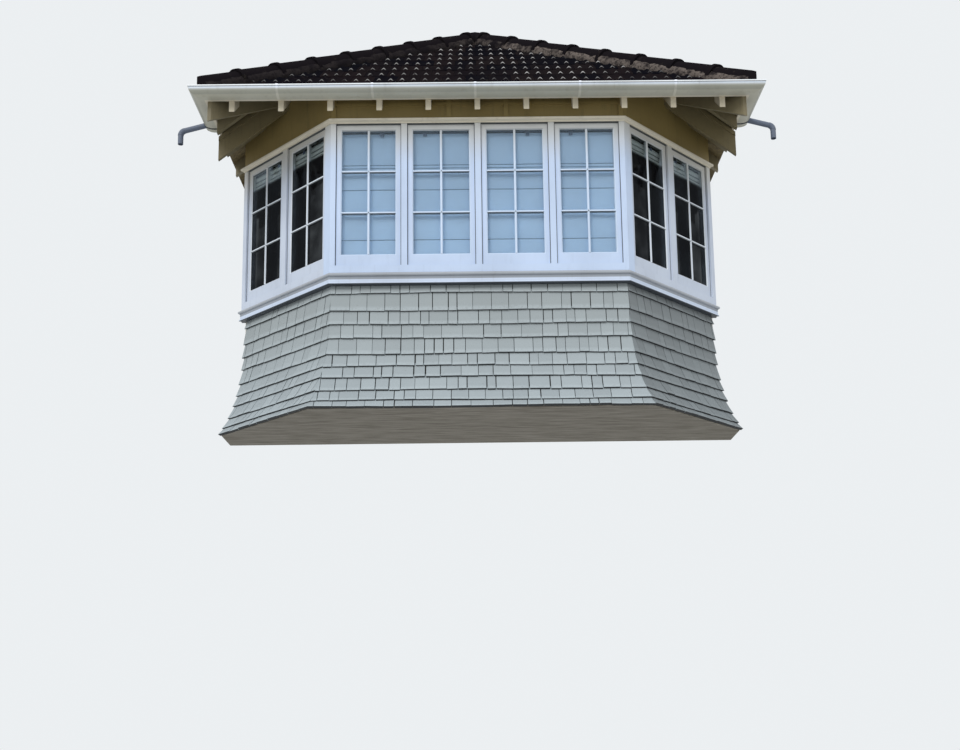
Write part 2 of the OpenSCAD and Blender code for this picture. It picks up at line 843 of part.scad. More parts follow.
// A spreader pipe leaves the gutter's side near its end and turns down through a bend
module pipe_line(in, lap) translate([
    fascia_half + gutter_w, -gutter_end - pipe_d, gutter_z + gutter_h / 2
]) rotate([0, pipe_fall, 0]) {
    inside = gutter_w / 3;
    bend_r = pipe_d / 2 - in;
    pipe_r = bend_r - pipe_socket;
    translate([-inside, 0, 0]) rotate([0, 90, 0])
        cylinder(h = inside + pipe_run + 2 * pipe_socket, r = pipe_r, $fn = round_fn);
    translate([pipe_run, 0, -pipe_bend_r]) rotate([90, 0, 0]) rotate([0, 0, pipe_fall])
        rotate_extrude(angle = 90 - pipe_fall, $fn = round_fn)
            translate([pipe_bend_r, 0]) circle(r = bend_r);
    translate([pipe_run, 0, -pipe_bend_r]) rotate([0, -pipe_fall, 0])
        translate([pipe_bend_r, 0, -pipe_drop - lap])
            cylinder(h = pipe_drop + lap + 2 * pipe_socket, r = pipe_r, $fn = round_fn);
}

module right_spreader_pipe() color("lightslategray")
    difference() {
        pipe_line(0, 0);
        pipe_line(pipe_wall, past);
        right_gutter(gutter_outline, -far);
    }

module left_spreader_pipe() on_left() right_spreader_pipe();

// A verge board dies against the frieze wall and is notched under the hip rafter
module right_verge_board() color("ivory")
    difference() {
        intersection() {
            union() {
                right_slope(slope_band(-fascia_t, -verge_drop, verge_depth - verge_drop));
                right_slope(slope_band(
                    -fascia_t, verge_depth - verge_drop - verge_mould_h, verge_depth - verge_drop
                ));
            }
            union() {
                translate([0, -verge_y, 0]) cube([far, verge_t, high_z]);
                intersection() {
                    translate([0, -verge_y - verge_mould_out, 0]) cube([far, verge_t, high_z]);
                    right_slope(slope_band(
                        -fascia_t, verge_depth - verge_drop - verge_mould_h, verge_depth - verge_drop
                    ));
                }
            }
        }
        prism(whole_plan(-frieze_set), low_z, high_z);
        right_hip_rafter();
    }

module left_verge_board() on_left() right_verge_board();

wall_ledger();
floor_boards();
front_apron_wall();
left_apron_wall();
right_apron_wall();
front_skirt();
left_skirt();
right_skirt();
left_skirt_end();
right_skirt_end();
skirt_soffit();
window_sill();
front_window_frame();
left_window_frame();
right_window_frame();
left_corner_post();
right_corner_post();
front_sash_1();
front_sash_2();
front_sash_3();
front_sash_4();
left_sash_1();
left_sash_2();
right_sash_1();
right_sash_2();
glass_panes();
head_mould();
front_frieze();
left_frieze();
right_frieze();
bay_ceiling();
front_rafters();
left_rafters();
right_rafters();
left_hip_rafter();
right_hip_rafter();
ridge_board();
front_roof_boards();
left_roof_boards();
right_roof_boards();
front_roof_tiles();
left_roof_tiles();
right_roof_tiles();
left_hip_capping();
right_hip_capping();
ridge_capping();
fascia();
eaves_gutter();
left_verge_board();
right_verge_board();
left_spreader_pipe();
right_spreader_pipe();
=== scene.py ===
"""Dresses the canted bay window: shingles, roof tiles, panes, sash bars, blinds and finishes.

Lengths are metres in the part's own frame: x to the right, y into the house and z up, from
the middle of the ledger's back face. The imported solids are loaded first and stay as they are.
Each class adds pieces that lie on them, or stand for one of them, and then every solid gets
its finish.
"""

from __future__ import annotations

import logging
import math
from dataclasses import dataclass
from enum import Enum

import bmesh
import bpy
import numpy as np
from mathutils import Matrix, Vector

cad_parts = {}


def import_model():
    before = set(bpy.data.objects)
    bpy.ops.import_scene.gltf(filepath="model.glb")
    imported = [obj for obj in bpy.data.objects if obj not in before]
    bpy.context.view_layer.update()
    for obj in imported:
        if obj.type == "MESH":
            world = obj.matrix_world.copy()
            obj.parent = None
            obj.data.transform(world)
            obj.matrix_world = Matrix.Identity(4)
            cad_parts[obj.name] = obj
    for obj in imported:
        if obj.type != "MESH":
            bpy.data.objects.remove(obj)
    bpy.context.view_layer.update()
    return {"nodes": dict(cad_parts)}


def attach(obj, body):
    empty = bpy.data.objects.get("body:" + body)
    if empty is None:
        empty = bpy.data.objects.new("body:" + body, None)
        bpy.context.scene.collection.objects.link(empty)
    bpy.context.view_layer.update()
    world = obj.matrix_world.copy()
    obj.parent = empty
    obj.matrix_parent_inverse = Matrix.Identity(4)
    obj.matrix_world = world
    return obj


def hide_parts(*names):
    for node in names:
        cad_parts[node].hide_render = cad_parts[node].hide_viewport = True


LOG = logging.getLogger("bay_window")
Color = tuple[float, float, float]

# The photograph's size in pixels, and the body that every piece rides on
IMAGE_WIDTH = 960
IMAGE_HEIGHT = 750
BODY = "root"

# The plan: how far the front stands out, half its width, the tangent of half a corner's
# turn, and how far a length of 1 along a canted side runs across and in
PROJECTION = 1.030
HALF_FRONT = 1.3555
MITRE = math.tan(math.radians(22.5))
DIAGONAL = math.sqrt(0.5)

# The hood: its pitch, the foot of the rafters, the eaves, the plumb cut behind, the gutter's
# end, and the lifts of the boards and tiles above the rafters
RISE = math.tan(math.radians(38.1))
FOOT_Z = 2.360
EAVE_Y = 1.155
EAVE_HALF = 2.4705
BACK_Y = 1.5005
GUTTER_END = 0.567
BOARDS_TOP = 0.165
TILES_TOP = 0.247

# The sashes: left edge and width of each opening, foot and head, gap, stile and rails
FRONT_OPENINGS = ((0.0275, 0.624), (0.7065, 0.601))
SIDE_OPENINGS = ((0.086, 0.5898), (0.7478, 0.5898))
SASH_FOOT = 0.918
SASH_HEAD = 2.292
SASH_GAP = 0.003
STILE = 0.050
BOTTOM_RAIL = 0.109
TOP_RAIL = 0.058

# Half the height over which the edge of a band of paint blends
BAND_EDGE = 0.0015


class Light(Enum):
    """The lamps of the studio, with their turns in degrees, strength and softness."""

    KEY = ((52.0, 0.0, -28.0), 1.55, 26.0)
    FILL = ((64.0, 0.0, 62.0), 0.45, 60.0)


class Facing(Enum):
    """Which face of the bay a piece lies on."""

    FRONT = "front"
    RIGHT = "right"
    LEFT = "left"


@dataclass(frozen=True)
class Face:
    """One face of the bay's plan: lengths run along it, outward from the frames and up."""

    start: tuple[float, float]
    along: tuple[float, float]
    outward: tuple[float, float]

    def at(self, t: np.ndarray, out: np.ndarray, z: np.ndarray) -> np.ndarray:
        """Gives points: the start, plus t along the face, plus out outward, at height z.

        Args:
            t: lengths along the face.
            out: lengths outward from the face of the frames.
            z: heights.

        Returns:
            Points with a last axis of three.
        """
        t, out, z = np.broadcast_arrays(t, out, z)
        x = self.start[0] + t * self.along[0] + out * self.outward[0]
        y = self.start[1] + t * self.along[1] + out * self.outward[1]
        return np.stack([x, y, z], -1)

    def rim(self, box: tuple[float, float, float, float], section: np.ndarray) -> np.ndarray:
        """Carries a section round the four corners of a rectangle on the face.

        Args:
            box: the rectangle's least and greatest length, foot and head.
            section: rows of a length inward from its sides and a depth behind the face.

        Returns:
            An array (1, 4, points of the section, 3).
        """
        t0, t1, z0, z1 = box
        inward, deep = section.T
        t = np.array([t0, t1, t1, t0])[:, None] + np.array([1, -1, -1, 1])[:, None] * inward
        z = np.array([z0, z0, z1, z1])[:, None] + np.array([1, 1, -1, -1])[:, None] * inward
        return self.at(t, -deep, z)[None]


FACES = {
    Facing.FRONT: Face((0.0, -PROJECTION), (1.0, 0.0), (0.0, -1.0)),
    Facing.RIGHT: Face((HALF_FRONT, -PROJECTION), (DIAGONAL, DIAGONAL), (DIAGONAL, -DIAGONAL)),
    Facing.LEFT: Face((-HALF_FRONT, -PROJECTION), (-DIAGONAL, DIAGONAL), (-DIAGONAL, -DIAGONAL)),
}
SIDES = (Facing.LEFT, Facing.RIGHT)


class MeshBuilder:
    """Collects solids as whole arrays of points and makes them one mesh."""

    def __init__(self) -> None:
        """Starts with no points."""
        self.points: list[np.ndarray] = []
        self.faces: list[np.ndarray] = []
        self.layers: dict[str, list[np.ndarray]] = {}
        self.count = 0

    def _add(self, points: np.ndarray, one: np.ndarray, layers: dict[str, np.ndarray]) -> None:
        """Adds copies of one solid's faces for each row of points.

        Args:
            points: an array (solids, points of a solid, 3).
            one: the faces of one solid, as rows of four point numbers.
            layers: numbers for each solid, or for each of its points.
        """
        solids, each, _ = points.shape
        offsets = self.count + np.arange(solids) * each
        self.points.append(points.reshape(-1, 3))
        self.faces.append((one[None] + offsets[:, None, None]).reshape(-1, 4))
        for name, values in layers.items():
            values = np.asarray(values, float).reshape(solids, -1)
            self.layers.setdefault(name, []).append(np.broadcast_to(values, (solids, each)).reshape(-1))
        self.count += solids * each

    def shells(self, top: np.ndarray, bottom: np.ndarray, **layers: np.ndarray) -> None:
        """Adds closed solids that lie between a top grid and a bottom grid each.

        Args:
            top: points (solids, rows, columns, 3).
            bottom: points of the same shape.
            layers: numbers for each solid, for each point of its grid, or for each point
                of its top and then of its bottom.
        """
        solids, rows, columns, _ = top.shape
        each = rows * columns
        grid = np.arange(each).reshape(rows, columns)
        upper = np.stack([grid[:-1, :-1], grid[:-1, 1:], grid[1:, 1:], grid[1:, :-1]], -1).reshape(-1, 4)
        rim = np.concatenate([grid[0], grid[1:, -1], grid[-1, -2::-1], grid[-2:0:-1, 0]])
        after = np.roll(rim, -1)
        sides = np.stack([rim, rim + each, after + each, after], 1)
        one = np.concatenate([upper, upper[:, ::-1] + each, sides])
        points = np.concatenate([top.reshape(solids, each, 3), bottom.reshape(solids, each, 3)], 1)
        both = {}
        for name, values in layers.items():
            values = np.asarray(values, float).reshape(solids, -1)
            both[name] = np.concatenate([values, values], 1) if values.shape[1] == each else values
        self._add(points, one, both)

    def block(
        self, face: Face, t: tuple[float, float], z: tuple[float, float], deep: tuple[float, float]
    ) -> None:
        """Adds a box on a face of the bay.

        Args:
            face: the face.
            t: its ends along the face.
            z: its foot and head.
            deep: how deep its front and its back lie behind the face.
        """
        front, back = (face.at(np.array(t), -d, np.array(z)[:, None])[None] for d in deep)
        self.shells(front, back)

    def tubes(self, rings: np.ndarray, looped: bool = False) -> None:
        """Adds solids that are carried from ring to ring, closed at their ends or in a loop.

        Args:
            rings: points (solids, rings, points of a ring, 3), with an even ring.
            looped: whether the last ring joins the first.
        """
        solids, count, k, _ = rings.shape
        grid = np.arange(count * k).reshape(count, k)
        ahead = np.roll(grid, -1, 0) if looped else grid[1:]
        here = grid if looped else grid[:-1]
        walls = np.stack([here, np.roll(here, -1, 1), np.roll(ahead, -1, 1), ahead], -1).reshape(-1, 4)
        parts = [walls]
        if not looped:
            pair = np.arange(k // 2)
            left, right = (-pair) % k, pair + 1
            cap = np.stack([left[:-1], right[:-1], right[1:], left[1:]], 1)
            parts += [cap[:, ::-1], cap + (count - 1) * k]
        self._add(rings.reshape(solids, -1, 3), np.concatenate(parts), {})

    def mesh(self, name: str, smooth_deg: float = 0.0) -> bpy.types.Mesh:
        """Makes the mesh, drops faces with no area and turns all faces outwards.

        Args:
            name: the mesh's name.
            smooth_deg: edges that turn by less than this shade smoothly.

        Returns:
            The finished mesh.
        """
        points = np.concatenate(self.points)
        faces = np.concatenate(self.faces)
        mesh = bpy.data.meshes.new(name)
        mesh.vertices.add(len(points))
        mesh.vertices.foreach_set("co", points.astype(np.float32).ravel())
        mesh.loops.add(faces.size)
        mesh.loops.foreach_set("vertex_index", faces.astype(np.int32).ravel())
        mesh.polygons.add(len(faces))
        mesh.polygons.foreach_set("loop_start", np.arange(0, faces.size, 4, dtype=np.int32))
        mesh.update(calc_edges=True)
        for layer, values in self.layers.items():
            attribute = mesh.attributes.new(layer, "FLOAT", "POINT")
            attribute.data.foreach_set("value", np.concatenate(values).astype(np.float32))
        work = bmesh.new()
        work.from_mesh(mesh)
        bmesh.ops.dissolve_degenerate(work, dist=2e-5, edges=work.edges)
        bmesh.ops.recalc_face_normals(work, faces=work.faces)
        work.to_mesh(mesh)
        work.free()
        if smooth_deg:
            mesh.shade_smooth()
            mesh.set_sharp_from_angle(angle=math.radians(smooth_deg))
        else:
            mesh.shade_flat()
        return mesh


def place(
    name: str,
    mesh: bpy.types.Mesh,
    material: bpy.types.Material,
    stands_for: tuple[str, ...] = (),
) -> bpy.types.Object:
    """Puts a mesh into the scene as a piece that rides on the part.

    Args:
        name: the piece's name.
        mesh: its mesh, in the part's frame.
        material: its finish.
        stands_for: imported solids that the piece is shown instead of.

    Returns:
        The new object.
    """
    piece = bpy.data.objects.new(name, mesh)
    bpy.context.scene.collection.objects.link(piece)
    mesh.materials.append(material)
    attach(piece, BODY)
    if stands_for:
        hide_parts(*stands_for)
    LOG.info("%s: %d faces", name, len(mesh.polygons))
    return piece


def scaled(color: Color, by: float) -> Color:
    """Makes a colour lighter or darker by a factor."""
    return tuple(part * by for part in color)


class Value:
    """A socket of a node tree, with the sums that its finishes are written in."""

    def __init__(self, tree: Tree, socket: bpy.types.NodeSocket) -> None:
        """Wraps a socket.

        Args:
            tree: the tree that new nodes are added to.
            socket: the output that this value stands for.
        """
        self.tree = tree
        self.socket = socket

    def _sum(self, operation: str, first: object, second: object) -> Value:
        """Adds a Math node."""
        return self.tree.node("ShaderNodeMath", {"operation": operation}, {0: first, 1: second})

    def __add__(self, other: object) -> Value:
        """Adds two values."""
        return self._sum("ADD", self, other)

    def __mul__(self, other: object) -> Value:
        """Multiplies two values."""
        return self._sum("MULTIPLY", self, other)

    def __sub__(self, other: object) -> Value:
        """Takes a value from this one."""
        return self._sum("SUBTRACT", self, other)

    def __rsub__(self, other: object) -> Value:
        """Takes this value from another, so that 1 - mask works."""
        return self._sum("SUBTRACT", other, self)

    __radd__ = __add__
    __rmul__ = __mul__

    def step(self, low: float, high: float, to_low: float = 0.0, to_high: float = 1.0) -> Value:
        """Maps low and high to two other numbers, smoothly and held beyond both ends.

        Args:
            low: where the result starts to change.
            high: where it stops.
            to_low: the result at low.
            to_high: the result at high.

        Returns:
            The mapped value.
        """
        return self.tree.node(
            "ShaderNodeMapRange",
            {"interpolation_type": "SMOOTHSTEP", "clamp": True},
            {"Value": self, "From Min": low, "From Max": high, "To Min": to_low, "To Max": to_high},
        )


class Tree:
    """The node tree of one finish, or of the studio's light."""

    def __init__(self, name: str, world: bool = False) -> None:
        """Makes a material or a world with an empty tree.

        Args:
            name: its name.
            world: whether it is a world.
        """
        self.owner = (bpy.data.worlds if world else bpy.data.materials).new(name)
        self.owner.use_nodes = True
        self.nodes = self.owner.node_tree.nodes
        self.links = self.owner.node_tree.links
        self.nodes.clear()

    def node(
        self, kind: str, settings: dict | None = None, sockets: dict | None = None, out: int | str = 0
    ) -> Value:
        """Adds any node.

        Args:
            kind: the node's type.
            settings: its settings, set first.
            sockets: values or links by the socket's name or number.
            out: the output to hand back.

        Returns:
            The chosen output.
        """
        made = self.nodes.new(kind)
        for name, setting in (settings or {}).items():
            setattr(made, name, setting)
        for name, value in (sockets or {}).items():
            if isinstance(value, Value):
                self.links.new(value.socket, made.inputs[name])
            elif isinstance(value, tuple) and len(value) == 3 and made.inputs[name].type == "RGBA":
                made.inputs[name].default_value = (*value, 1.0)
            else:
                made.inputs[name].default_value = value
        return Value(self, made.outputs[out])

    def place(self, scale: tuple[float, float, float] = (1.0, 1.0, 1.0)) -> Value:
        """Gives the object's coordinates, stretched by factors along x, y and z."""
        where = self.node("ShaderNodeTexCoord", out="Object")
        return self.node("ShaderNodeMapping", {}, {"Vector": where, "Scale": scale})

    def axis(self, vector: Value, name: str) -> Value:
        """Takes one part of a vector: X, Y or Z."""
        return self.node("ShaderNodeSeparateXYZ", {}, {0: vector}, out=name)

    def noise(self, where: Value, scale: float, detail: float = 3.0, rough: float = 0.55) -> Value:
        """Gives a noise between about 0.25 and 0.75."""
        sockets = {"Vector": where, "Scale": scale, "Detail": detail, "Roughness": rough}
        return self.node("ShaderNodeTexNoise", {}, sockets)

    def layer(self, name: str) -> Value:
        """Reads a number that the mesh carries on its points."""
        return self.node("ShaderNodeAttribute", {"attribute_name": name}, out="Fac")

    def mix(self, share: object, first: object, second: object) -> Value:
        """Blends two colours or links; the share says how much of the second shows."""
        settings = {"data_type": "RGBA", "clamp_factor": True}
        return self.node("ShaderNodeMix", settings, {0: share, 6: first, 7: second}, out=2)

    def principled(self, **sockets: object) -> Value:
        """Adds the main shader with its sockets, whose names have _ for a blank."""
        named = {name.replace("_", " "): value for name, value in sockets.items()}
        return self.node("ShaderNodeBsdfPrincipled", {}, named)

    def surface(
        self, color: Value, rough: Value, height: Value, depth: float, **others: float
    ) -> bpy.types.Material:
        """Finishes with the main shader, whose normal follows a height.

        Args:
            color: the base colour.
            rough: the roughness.
            height: the height.
            depth: how many metres of relief a height of 1 stands for.
            others: more sockets of the shader.

        Returns:
            The material.
        """
        bump = {"Height": height, "Distance": depth, "Strength": 1.0}
        normal = self.node("ShaderNodeBump", {}, bump)
        return self.finish(self.principled(Base_Color=color, Roughness=rough, Normal=normal, **others))

    def finish(
        self, shader: Value, end: str = "ShaderNodeOutputMaterial"
    ) -> bpy.types.Material | bpy.types.World:
        """Joins a shader to an output.

        Args:
            shader: the shader.
            end: the output's type.

        Returns:
            The material or the world.
        """
        output = self.nodes.new(end)
        self.links.new(shader.socket, output.inputs["Surface"])
        return self.owner


@dataclass(frozen=True)
class Band:
    """Heights between which a paint is lighter or darker, by a gain for each colour.

    The lower edge blends over twice soft.
    """

    low: float
    high: float
    gain: tuple[float, float, float]
    soft: float = BAND_EDGE


@dataclass(frozen=True)
class Paint:
    """Old brushed paint on wood or metal: rain streaks, dust, faint brush marks and dents.

    The share warm_head says how far the colour turns warm between two heights, towards the
    eaves. The share under is painted shade: how far the faces that look down are darkened.
    """

    name: str
    color: Color
    grime_and_shade: Color = (0.20, 0.17, 0.12)
    dirt: float = 0.22
    rough: float = 0.42
    marks: float = 0.00035
    bands: tuple[Band, ...] = ()
    warm_head: float = 0.0
    under: float = 0.0
    warm: Color = (0.47, 0.435, 0.345)
    warm_heights: tuple[float, float] = (1.85, 2.31)

    def build(self) -> bpy.types.Material:
        """Makes the paint.

        Returns:
            The material.
        """
        tree = Tree(self.name)
        here = tree.place()
        streaks = tree.noise(tree.place((9.0, 9.0, 0.9)), 3.0, 4.0)
        clouds = tree.noise(here, 1.7, 4.0)
        specks = tree.noise(here, 55.0, 3.0, 0.7)
        dirt = streaks.step(0.52, 0.78) * 0.6 + clouds.step(0.50, 0.75) * 0.5
        dirt = dirt + specks.step(0.62, 0.74) * 0.35
        worn = tree.mix(clouds.step(0.3, 0.7), self.color, scaled(self.color, 0.93))
        color = tree.mix(dirt * self.dirt, worn, self.grime_and_shade)
        up = tree.axis(here, "Z")
        if self.warm_head:
            color = tree.mix(up.step(*self.warm_heights) * self.warm_head, color, self.warm)
        for band in self.bands:
            above = up.step(band.low - band.soft, band.low + band.soft)
            inside = above * up.step(band.high - BAND_EDGE, band.high + BAND_EDGE, 1.0, 0.0)
            gained = {0: color, 1: band.gain}
            changed = tree.node("ShaderNodeVectorMath", {"operation": "MULTIPLY"}, gained)
            color = tree.mix(inside, color, changed)
        # Painted shade: faces that look down are darkened by the share under.
        if self.under:
            facing = tree.axis(tree.node("ShaderNodeNewGeometry", out="Normal"), "Z")
            color = tree.mix(facing.step(-0.9, -0.5, self.under, 0.0), color, self.grime_and_shade)
        brush = tree.noise(tree.place((60.0, 60.0, 7.0)), 4.0, 3.0)
        height = brush * 0.7 + specks * 0.3
        rough = clouds.step(0.3, 0.75, self.rough - 0.07, self.rough + 0.14)
        return tree.surface(color, rough, height, self.marks, Specular_IOR_Level=0.4)


@dataclass(frozen=True)
class ShinglePaint:
    """Painted shingles: each its own tone and sawn grain, with painted shade on the upper rows, and along
    each butt painted shadow under a painted highlight.
    """

    name: str = "painted_shingle"
    color: Color = (0.382, 0.430, 0.452)
    deep: Color = (0.332, 0.374, 0.394)
    # The colour of painted shade on the upper rows, under the sill
    upper_row_shade: Color = (0.285, 0.305, 0.298)
    bare: Color = (0.10, 0.085, 0.065)
    # The colour of painted shadow along the butts
    butt: Color = (0.025, 0.025, 0.027)

    def build(self) -> bpy.types.Material:
        """Makes the painted wood; the layers are tint, from shingle to shingle, and down.

        Returns:
            The material.
        """
        tree = Tree(self.name)
        tint = tree.layer("tint")
        down = tree.layer("down")
        grain = tree.noise(tree.place((70.0, 70.0, 2.6)), 2.0, 5.0, 0.62)
        clouds = tree.noise(tree.place(), 2.2, 4.0)
        specks = tree.noise(tree.place(), 42.0, 4.0, 0.7)
        shade = tint * 0.75 + clouds * 0.5
        color = tree.mix(shade.step(0.2, 1.05), self.deep, self.color)
        up = tree.axis(tree.place(), "Z")
        # Painted shade: darker and greener towards the top, under the sill.
        color = tree.mix(up.step(-0.35, 0.75, 0.0, 0.45), color, self.upper_row_shade)
        color = tree.mix(grain.step(0.50, 0.72) * 0.22, color, self.deep)
        # Painted highlight: a lighter line along each lower edge, above the butt.
        lip = down.step(0.72, 0.9) * specks.step(0.3, 0.55)
        color = tree.mix(lip * 0.35, color, scaled(self.color, 1.35))
        # Painted shadow: the butts' lower ends and end faces go near black.
        color = tree.mix(down.step(0.972, 0.998) * 0.95, color, self.butt)
        worn = specks.step(0.62, 0.70) * grain.step(0.5, 0.62)
        color = tree.mix(worn * 0.5, color, self.bare)
        rough = clouds.step(0.3, 0.7, 0.62, 0.80)
        return tree.surface(color, rough, grain * 0.8 + specks * 0.2, 0.0016, Specular_IOR_Level=0.3)


@dataclass(frozen=True)
class Clay:
    """Dark fired clay with lichen, pale along the rolls' lower edges as painted glints, partly lichen;
    used on the tiles and cappings.
    """

    name: str
    color: Color = (0.006, 0.006, 0.009)
    warm: Color = (0.0145, 0.011, 0.012)
    glint_and_lichen: Color = (0.44, 0.43, 0.42)
    patch: Color = (0.10, 0.085, 0.06)
    amount: float = 0.22

    def build(self) -> bpy.types.Material:
        """Makes the clay; the layers are tint, from tile to tile, and nose, at lower edges.

        Returns:
            The material.
        """
        tree = Tree(self.name)
        tint = tree.layer("tint")
        nose = tree.layer("nose")
        here = tree.place()
        clouds = tree.noise(here, 3.5, 5.0)
        spots = tree.noise(here, 26.0, 4.0, 0.65)
        fine = tree.noise(here, 130.0, 3.0, 0.7)
        wide = tree.noise(here, 0.9, 2.0)
        color = tree.mix((tint * 0.7 + clouds * 0.5).step(0.25, 0.95), self.color, self.warm)
        patches = spots.step(0.56, 0.68) * clouds.step(0.42, 0.62)
        # Painted highlight: pale glints on the rolls' noses, in patches and stronger towards the right,
        # partly lichen.
        glint_spread = wide.step(0.40, 0.56, 0.25, 1.0) * tree.axis(here, "X").step(-1.9, -0.1, 0.30, 1.0)
        edge = nose.step(0.44, 0.76) * spots.step(0.34, 0.52) * glint_spread
        color = tree.mix(patches * self.amount, color, self.patch)
        color = tree.mix(edge, color, self.glint_and_lichen)
        rough = spots.step(0.35, 0.65, 0.62, 0.92)
        return tree.surface(color, rough, spots * 0.6 + fine * 0.4, 0.0018, Specular_IOR_Level=0.0)


@dataclass(frozen=True)
class Mortar:
    """Rough grey mortar, a little pink, with sand, dark weather stains and painted shade towards the left.
    """

    name: str = "bedding_mortar"
    color: Color = (0.165, 0.138, 0.122)
    stain_and_shade: Color = (0.014, 0.012, 0.014)

    def build(self) -> bpy.types.Material:
        """Makes the mortar.

        Returns:
            The material.
        """
        tree = Tree(self.name)
        here = tree.place()
        clouds = tree.noise(here, 6.0, 5.0)
        sand = tree.noise(here, 160.0, 3.0, 0.75)
        lumps = tree.noise(here, 34.0, 4.0, 0.7)
        color = tree.mix(clouds.step(0.44, 0.66), self.color, self.stain_and_shade)
        color = tree.mix(lumps.step(0.48, 0.60) * 0.75, color, self.stain_and_shade)
        # Painted shade: darker towards the left hip.
        color = tree.mix(tree.axis(here, "X").step(-0.4, 0.4, 0.9, 0.0), color, self.stain_and_shade)
        color = tree.mix(sand.step(0.5, 0.7) * 0.3, color, self.stain_and_shade)
        rough = sand.step(0.3, 0.7, 0.80, 0.95)
        return tree.surface(color, rough, sand * 0.5 + clouds * 0.5, 0.004, Specular_IOR_Level=0.0)


@dataclass(frozen=True)
class Timber:
    """Bare sawn timber: long grain along x, year rings and a few stains.

    The number board is the width of boards whose joints show, or nought.
    """

    name: str
    color: Color
    dark: Color
    board: float = 0.0
    joint: Color = (0.02, 0.015, 0.01)

    def build(self) -> bpy.types.Material:
        """Makes the timber.

        Returns:
            The material.
        """
        tree = Tree(self.name)
        grain = tree.noise(tree.place((1.5, 22.0, 22.0)), 2.4, 6.0, 0.6)
        clouds = tree.noise(tree.place(), 1.4, 4.0)
        color = tree.mix(grain.step(0.35, 0.68), self.color, self.dark)
        color = tree.mix(clouds.step(0.5, 0.8) * 0.4, color, self.dark)
        height = grain
        if self.board:
            across = {0: tree.axis(tree.place(), "Y"), 1: self.board / 2}
            off = tree.node("ShaderNodeMath", {"operation": "PINGPONG"}, across)
            joint = off.step(0.0, 0.0016, 1.0, 0.0)
            color = tree.mix(joint * 0.85, color, self.joint)
            height = height - joint * 1.5
        rough = grain.step(0.3, 0.7, 0.55, 0.75)
        return tree.surface(color, rough, height, 0.0009, Specular_IOR_Level=0.35)


@dataclass(frozen=True)
class Glass:
    """Old window glass: clear before the blinds, or dark before an unlit room.

    A share of dark body colour stands for the unlit room, and gives way over a raised blind.
    """

    name: str
    body: Color
    cover: float
    tint: Color
    gloss: float = 0.6
    blind_foot: float = 0.0
    sheen: Color = (0.8, 0.9, 1.0)

    def build(self) -> bpy.types.Material:
        """Makes the glass: a tinted clear layer, a share of body colour and a gloss.

        Returns:
            The material.
        """
        tree = Tree(self.name)
        film = tree.noise(tree.place(), 2.5, 3.0)
        cover = film.step(0.3, 0.7, self.cover * 0.8, self.cover)
        if self.blind_foot:
            up = tree.axis(tree.place(), "Z")
            cover = cover * up.step(self.blind_foot - 0.03, self.blind_foot + 0.01, 1.0, 0.10)
            cover = cover * tree.layer("veil").step(0.45, 1.0, 1.0, 0.72)
        clear = tree.node("ShaderNodeBsdfTransparent", {}, {"Color": self.tint})
        solid = tree.node("ShaderNodeBsdfDiffuse", {}, {"Color": self.body})
        gloss = tree.node("ShaderNodeBsdfAnisotropic", {}, {"Color": self.sheen, "Roughness": 0.02})
        share = tree.node("ShaderNodeFresnel", {}, {"IOR": 1.45}) * self.gloss
        covered = tree.node("ShaderNodeMixShader", {}, {0: cover, 1: clear, 2: solid})
        return tree.finish(tree.node("ShaderNodeMixShader", {}, {0: share, 1: covered, 2: gloss}))


@dataclass(frozen=True)
class Cloth:
    """Woven blind or curtain cloth: fine thread, soft shade from fold to fold, painted shade at the seams
    and towards the top.
    """

    name: str
    color: Color
    thread: float = 900.0

    def build(self) -> bpy.types.Material:
        """Makes the cloth; the weave is a very fine noise, and the layer fold darkens the seams as painted
        shade.

        Returns:
            The material.
        """
        tree = Tree(self.name)
        here = tree.place()
        clouds = tree.noise(here, 2.4, 3.0)
        slub = tree.noise(tree.place((1.0, 1.0, 30.0)), 6.0, 4.0)
        weave = tree.noise(here, self.thread, 1.0)
        color = tree.mix(clouds.step(0.35, 0.7) * 0.5, self.color, scaled(self.color, 0.86))
        color = tree.mix(slub.step(0.5, 0.7) * 0.25, color, scaled(self.color, 0.8))
        # Painted shadow of the eaves: darker towards the top.
        color = tree.mix(tree.axis(here, "Z").step(1.2, 2.25) * 0.45, color, scaled(self.color, 0.55))
        # Painted shade along the seams, by the layer fold.
        color = tree.mix(tree.layer("fold") * 0.85, color, scaled(self.color, 0.16))
        rough = weave.step(0.3, 0.7, 0.80, 0.95)
        return tree.surface(color, rough, weave * 0.5 + slub * 0.5, 0.0005, Sheen_Weight=0.2)


